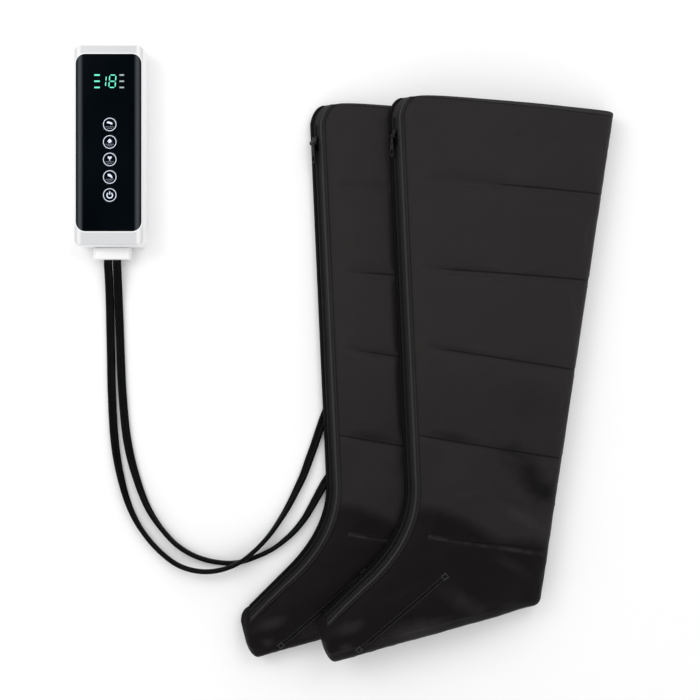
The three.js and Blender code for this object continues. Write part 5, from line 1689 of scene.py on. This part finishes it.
def make_front_housing():
    """Front half of the case: the plate's seat, posts, key holes and the display's window."""
    outside = arc_profile([(0, PARTING + 0.5), (0, 33), (0.9, 36.4), (2.4, CASE_SIZE[2])])
    shell = stack("front_case", [case_ring(*at) for at in [(0.25, PARTING + 0.15)] + outside])
    carve(shell, [
        stack("hollow", [case_ring(CASE_WALL, z) for z in (PARTING - 4, DECK)]),
        stack("seat", [plate_ring(-GAP, z) for z in (PLATE_FLOOR, CASE_SIZE[2] + 2)])])
    posts = corner_places(POST_PLACE)
    carve(shell, rounds(POST_RADIUS, PARTING + GAP, DECK + 0.5, posts), "UNION")
    window = [(middle - half, middle + half) for middle, half in zip(DISPLAY_PLACE, WINDOW)]
    carve(shell, [
        *rounds(SCREW_HOLE, 0, PILOT_TOP, posts),
        *rounds(STEM_HOLE, DECK - 1, CASE_SIZE[2], [(KEY_OFFSET, y) for y in KEYS.values()]),
        block(*window, (DECK - 1, CASE_SIZE[2]))])
    stand_for(smoothed(shell, 32), "front_housing")


def side_fall(x):
    """How far the plate's top has curved down towards its long sides."""
    past = (abs(x - CASE_CENTRE.x) - (PLATE_SIZE[0] / 2 - SIDE_CURVE)) / SIDE_CURVE
    return SIDE_DROP * max(past, 0.0) ** 2


def make_plate():
    """Glossy plate with softened edges and round holes for the keys."""
    edge = arc_profile([(0, 1.0), (0.4, 0.35), (1.0, 0)], 4)
    edge += [(inset, 0) for inset in (1.6, 2.4, 3.2, 4.1, 5.0, 6.0, 7.0, 8.0, 9.2)]
    rings = [plate_ring(0.3, PLATE_FLOOR + GAP), plate_ring(0, PLATE_FLOOR + 0.6)]
    for inset, drop in edge:
        rings.append([(x, y, PLATE_TOP - max(drop, side_fall(x))) for x, y, _ in plate_ring(inset, 0)])
    plate = stack("glossy_plate", rings, "plate")
    hole = [(KEY_HOLE, PLATE_FLOOR - 1), (KEY_HOLE, PLATE_TOP - 0.25),
            (KEY_HOLE + 0.25, PLATE_TOP + 0.05), (KEY_HOLE + 0.25, 40)]
    carve(plate, [turned(hole, KEY_OFFSET, y, steps=72) for y in KEYS.values()])
    stand_for(smoothed(plate, 24), "face_plate")


# A key's profile from its stem upwards, as (radius, height)
KEY_PROFILE = [
    (2.5, 30.4), (2.5, PLATE_FLOOR + 0.8), (8.1, PLATE_FLOOR + 0.8), (8.4, PLATE_FLOOR + 1.1),
    (8.4, KEY_TOP - 0.35), (8.3, KEY_TOP - 0.12), (8.05, KEY_TOP), (7.4, KEY_TOP), (5.4, KEY_TOP - 0.08),
    (2.4, KEY_TOP - 0.16), (0.3, KEY_TOP - 0.18),
]


def make_keys(sizes):
    """Round keys, slightly hollow on top, with printed rings and signs."""
    for name, y in KEYS.items():
        cap = turned(KEY_PROFILE, KEY_OFFSET, y, 72, name + "_cap", "plate")
        stand_for(smoothed(cap, 30), name, name + "_body")
        print_sign(name, y, sizes.ring_width / MM)


def print_line(points, width):
    """Points on either side of a line in turn, for a thin printed band."""
    points = [np.array(point, float) for point in points]
    closed = len(points) > 2 and np.allclose(points[0], points[-1])
    first, last = (points[-2], points[1]) if closed else (points[0], points[-1])
    edges = []
    for before, point, after in zip([first, *points], points, [*points[1:], last]):
        run = (after - before) / max(np.linalg.norm(after - before), 1e-9)
        side = np.array((-run[1], run[0])) * width / 2
        edges += [point + side, point - side]
    return edges


def arc(cx, cy, radius, start, end, steps=40):
    turns = (math.radians(start + (end - start) * k / steps) for k in range(steps + 1))
    return [(cx + radius * math.cos(turn), cy + radius * math.sin(turn)) for turn in turns]


# Signs in millimetres about the key's middle: filled areas, and a power sign drawn in lines
SIGN_AREAS = {
    "foot_key": [
        (-3.4, 2.6), (-2.4, 3.7), (0.4, 3.0), (2.9, 2.0), (3.4, 0.6), (2.3, -0.3), (0.2, 0.8), (-3.2, 1.4)],
    "heat_key": [(0, 4.0), (3.0, 0.6), (1.7, 0.3), (1.5, -1.2), (-1.5, -1.2), (-1.7, 0.3), (-3.0, 0.6)],
    "intensity_key": [
        (0.3, -1.7), (0.6, 0.3), (2.2, 1.6), (2.4, 2.9), (1.6, 3.7), (0.6, 3.5), (0, 2.6), (-0.6, 3.5),
        (-1.6, 3.7), (-2.4, 2.9), (-2.2, 1.6), (-0.6, 0.3), (-0.3, -1.7)],
    "mode_key": [
        (-2.7, 2.9), (-1.2, 3.8), (0.9, 3.3), (2.6, 1.4), (3.5, -0.9), (2.5, -1.7), (0.8, 0.1), (-1.9, 0.9)],
}
POWER_LINES = [arc(0, -0.3, 3.2, 125, 415), [(0, 4.2), (0, 0.5)]]
# Small marks below the four upper signs, as their left and right ends and height
MARKS = [(-4.6, -3.2, -2.7), (-2.5, -0.9, -2.7), (-0.2, 1.5, -2.7), (2.2, 3.3, -2.7), (3.8, 4.6, -2.7),
         (-2.9, -1.3, -4.5), (-0.6, 0.9, -4.5), (1.6, 2.9, -4.5)]


def flat_print(name, place, height, finish, body="massager", lines=(), width=0.0, areas=(), ink=0.05):
    """Prints lines and filled areas on a flat face at a height, a hair proud of it."""
    points, faces = [], []
    for line in lines:
        start = len(points)
        points += print_line(line, width)
        faces += [(k, k + 1, k + 3, k + 2) for k in range(start, len(points) - 2, 2)]
    for area in areas:
        faces.append(tuple(range(len(points), len(points) + len(area))))
        points += area
    places = [(*in_case(place[0] + x, place[1] + y), height) for x, y in points]
    piece = give_wall(mesh_object(name, places, faces, finish), ink, offset=0)
    return go_along(piece, body)


def print_sign(name, y, ring_width):
    key = {"place": (KEY_OFFSET, y), "body": name + "_body"}
    sign = {**key, "height": KEY_TOP - 0.02}
    ring = arc(0, 0, RING_RADIUS, 0, 360, 72)
    flat_print(
        name + "_ring", height=KEY_TOP + 0.03, finish="white print", lines=[ring], width=ring_width, **key)
    if name == "power_key":
        flat_print(name + "_sign", finish="white print", lines=POWER_LINES, width=1.3, **sign)
        return
    flat_print(name + "_sign", finish="white print", areas=[SIGN_AREAS[name]], **sign)
    marks = [[(left, low), (right, low)] for left, right, low in MARKS]
    flat_print(name + "_marks", finish="dim print", lines=marks, width=0.75, **sign)


# Segments as their middle, and whether they stand; in shares of a digit 1 wide and 2 high
SEGMENTS = {
    "a": (0, 1, False), "b": (0.5, 0.5, True), "c": (0.5, -0.5, True), "d": (0, -1, False),
    "e": (-0.5, -0.5, True), "f": (-0.5, 0.5, True), "g": (0, 0, False),
}


def digit_segments(which, middle, size):
    """Six-sided segments of one digit, which leans a little."""
    shapes = []
    half, thick = 0.40 * size, 0.085 * size
    inner = half - thick
    lying = [(-half, 0), (-inner, thick), (inner, thick), (half, 0), (inner, -thick), (-inner, -thick)]
    for key in which:
        x, y, stands = SEGMENTS[key]
        line = [(x * size + a, y * size + b) for a, b in ([(b, a) for a, b in lying] if stands else lying)]
        shapes.append([(middle + a + 0.08 * b, b) for a, b in line])
    return shapes


# The bars' heights, half their thickness, and where each column of them starts and how long its bars are
BAR_HEIGHTS = (-7.2, 0, 7.2)
BAR_HALF = 0.85
BAR_COLUMNS = ((-18.0, 6.4), (11.2, 5.4))


def make_display():
    """Lit digits with three bars on either side, on top of the plate."""
    digits = digit_segments("bc", -7.6, 6.2) + digit_segments("abcdefg", 3.1, 7.2)
    bars, pale = (
        [[(x, y - BAR_HALF), (x + long, y - BAR_HALF), (x + long, y + BAR_HALF), (x, y + BAR_HALF)]
         for y in BAR_HEIGHTS] for x, long in BAR_COLUMNS)
    prints = (("lit_digits", digits, "green"), ("lit_bars", bars, "green"), ("pale_bars", pale, "pale"))
    for name, areas, light in prints:
        flat_print(name, DISPLAY_PLACE, PLATE_TOP + 0.02, light + " light", areas=areas, ink=0.06)


# Small hard parts: the solids with their edges softened
# In degrees: faces that meet at less than the first angle are joined, and edges over the second one are rounded
FLAT_ANGLE = 1.5
EDGE_ANGLE = 28


def soften(name, slot, finish, width, body="massager"):
    """A copy of a solid with merged faces and rounded edges, which stands for it."""
    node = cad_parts[name]
    shape = bmesh.new()
    shape.from_mesh(node.data)
    shape.transform(node.matrix_world)
    bmesh.ops.remove_doubles(shape, verts=shape.verts, dist=2e-6)
    bmesh.ops.dissolve_limit(
        shape, angle_limit=math.radians(FLAT_ANGLE), verts=shape.verts, edges=shape.edges,
        use_dissolve_boundaries=False)
    edges = [
        edge for edge in shape.edges
        if len(edge.link_faces) == 2 and edge.calc_face_angle(0) > math.radians(EDGE_ANGLE)]
    bmesh.ops.bevel(
        shape, geom=edges, offset=width * MM, segments=3, profile=0.5, affect="EDGES", clamp_overlap=True)
    bmesh.ops.recalc_face_normals(shape, faces=shape.faces)
    mesh = bpy.data.meshes.new(name + "_shaped")
    shape.to_mesh(mesh)
    shape.free()
    mesh.materials.append(FINISHES[finish])
    stand_for(smoothed(place_in_scene(name + "_shaped", mesh), 38), name, body)


# Each part's name, slot and finish, and the width of its softened edges in millimetres
HARD_PARTS = [
    ("hose_gland", "housing", "neck", 0.8), ("charging_port", "metal", "steel", 0.15),
    ("valve_manifold", "dark", "dark", 0.6), ("pump_head", "dark", "dark", 0.7),
    ("pump_motor", "metal", "steel", 0.5), ("display_module", "dark", "dark", 0.3),
    ("control_board", "board", "board", 0.15), ("battery_pack", "cell", "cell", 0.8),
    ("left_hose_inlet", "hose", "hose", 0.7), ("right_hose_inlet", "hose", "hose", 0.7),
    ("pump_tube", "hose", "hose", 0.15),
]


class MASSAGER_OT_stage(bpy.types.Operator):
    """Sets the pale floor, the soft lights and the camera over the set"""

    bl_idname = "massager.stage"
    bl_label = "Set Stage"

    def execute(self, context):
        set_stage()
        return {"FINISHED"}


class MASSAGER_OT_hoses(bpy.types.Operator):
    """Lays the two twin-tube hoses from the controller to the boots"""

    bl_idname = "massager.hoses"
    bl_label = "Lay Hoses"

    def execute(self, context):
        for name in ROUTES:
            make_hose(name)
        return {"FINISHED"}


class MASSAGER_OT_covers(bpy.types.Operator):
    """Makes the boots' outer covers with their seams and topstitching"""

    bl_idname = "massager.covers"
    bl_label = "Make Covers"

    def execute(self, context):
        sizes = context.scene.massager_sizes
        for side in SIDES:
            cover = make_cover(side, sizes)
            stand_for(cover, f"{side}_outer_cover")
            sew_cover(side, cover, sizes)
        return {"FINISHED"}


class MASSAGER_OT_linings(bpy.types.Operator):
    """Makes the linings and air bladders inside the boots"""

    bl_idname = "massager.linings"
    bl_label = "Make Linings"

    def execute(self, context):
        for side in SIDES:
            make_linings(side)
        return {"FINISHED"}


class MASSAGER_OT_bindings(bpy.types.Operator):
    """Folds the tapes over the boots' front edges and mouths"""

    bl_idname = "massager.bindings"
    bl_label = "Fold Bindings"

    def execute(self, context):
        for side in SIDES:
            make_bindings(side)
            sew_edges(side, context.scene.massager_sizes)
        return {"FINISHED"}


class MASSAGER_OT_zippers(bpy.types.Operator):
    """Makes the zippers with their teeth, sliders and pull tabs"""

    bl_idname = "massager.zippers"
    bl_label = "Make Zippers"

    def execute(self, context):
        for side in SIDES:
            make_zipper(side, context.scene.massager_sizes)
            soften(f"{side}_zip_slider", "slider", "dark metal", 0.35, f"{side}_slider")
            soften(f"{side}_zip_pull", "slider", "dark metal", 0.3, f"{side}_pull")
        return {"FINISHED"}


class MASSAGER_OT_housing(bpy.types.Operator):
    """Makes the controller's two housing halves and its glossy plate"""

    bl_idname = "massager.housing"
    bl_label = "Make Housing"

    def execute(self, context):
        make_rear_housing()
        make_front_housing()
        make_plate()
        return {"FINISHED"}


class MASSAGER_OT_keys(bpy.types.Operator):
    """Makes the round keys with their printed signs and the lit display"""

    bl_idname = "massager.keys"
    bl_label = "Make Keys"

    def execute(self, context):
        make_keys(context.scene.massager_sizes)
        make_display()
        return {"FINISHED"}


class MASSAGER_OT_works(bpy.types.Operator):
    """Makes the pump, valves, battery, board, screws and hose fittings"""

    bl_idname = "massager.works"
    bl_label = "Make Works"

    def execute(self, context):
        for part in HARD_PARTS:
            soften(*part)
        for number in range(1, 5):
            soften(f"valve_{number}", "metal", "steel", 0.4)
            soften(f"valve_plunger_{number}", "dark", "dark", 0.2, f"plunger_{number}")
            soften(f"rear_screw_{number}", "metal", "steel", 0.2)
        soften("pump_crank", "metal", "steel", 0.3, "crank")
        return {"FINISHED"}


STEPS = (
    MASSAGER_OT_stage, MASSAGER_OT_hoses, MASSAGER_OT_covers, MASSAGER_OT_linings, MASSAGER_OT_bindings,
    MASSAGER_OT_zippers, MASSAGER_OT_housing, MASSAGER_OT_keys, MASSAGER_OT_works,
)


class MASSAGER_PT_panel(bpy.types.Panel):
    """Sizes, colours and steps of the massager set"""

    bl_idname = "MASSAGER_PT_panel"
    bl_label = "Massager"
    bl_space_type = "VIEW_3D"
    bl_region_type = "UI"
    bl_category = "Massager"

    def draw(self, context):
        layout = self.layout
        for settings in (context.scene.massager_sizes, context.scene.massager_colours):
            box = layout.box()
            for name in settings.bl_rna.properties.keys():
                if name not in ("rna_type", "name"):
                    box.prop(settings, name)
        for step in STEPS:
            layout.operator(step.bl_idname, text=step.bl_label)


CLASSES = (Sizes, Colours, *STEPS, MASSAGER_PT_panel)


def register():
    for sort in CLASSES:
        bpy.utils.register_class(sort)
    bpy.types.Scene.massager_sizes = bpy.props.PointerProperty(type=Sizes)
    bpy.types.Scene.massager_colours = bpy.props.PointerProperty(type=Colours)


def unregister():
    del bpy.types.Scene.massager_colours
    del bpy.types.Scene.massager_sizes
    for sort in reversed(CLASSES):
        bpy.utils.unregister_class(sort)


def main():
    register()
    make_finishes(bpy.context.scene.massager_colours)
    for step in STEPS:
        name = step.bl_idname.split(".")[1]
        getattr(bpy.ops.massager, name)()


if __name__ == "__main__":
    main()
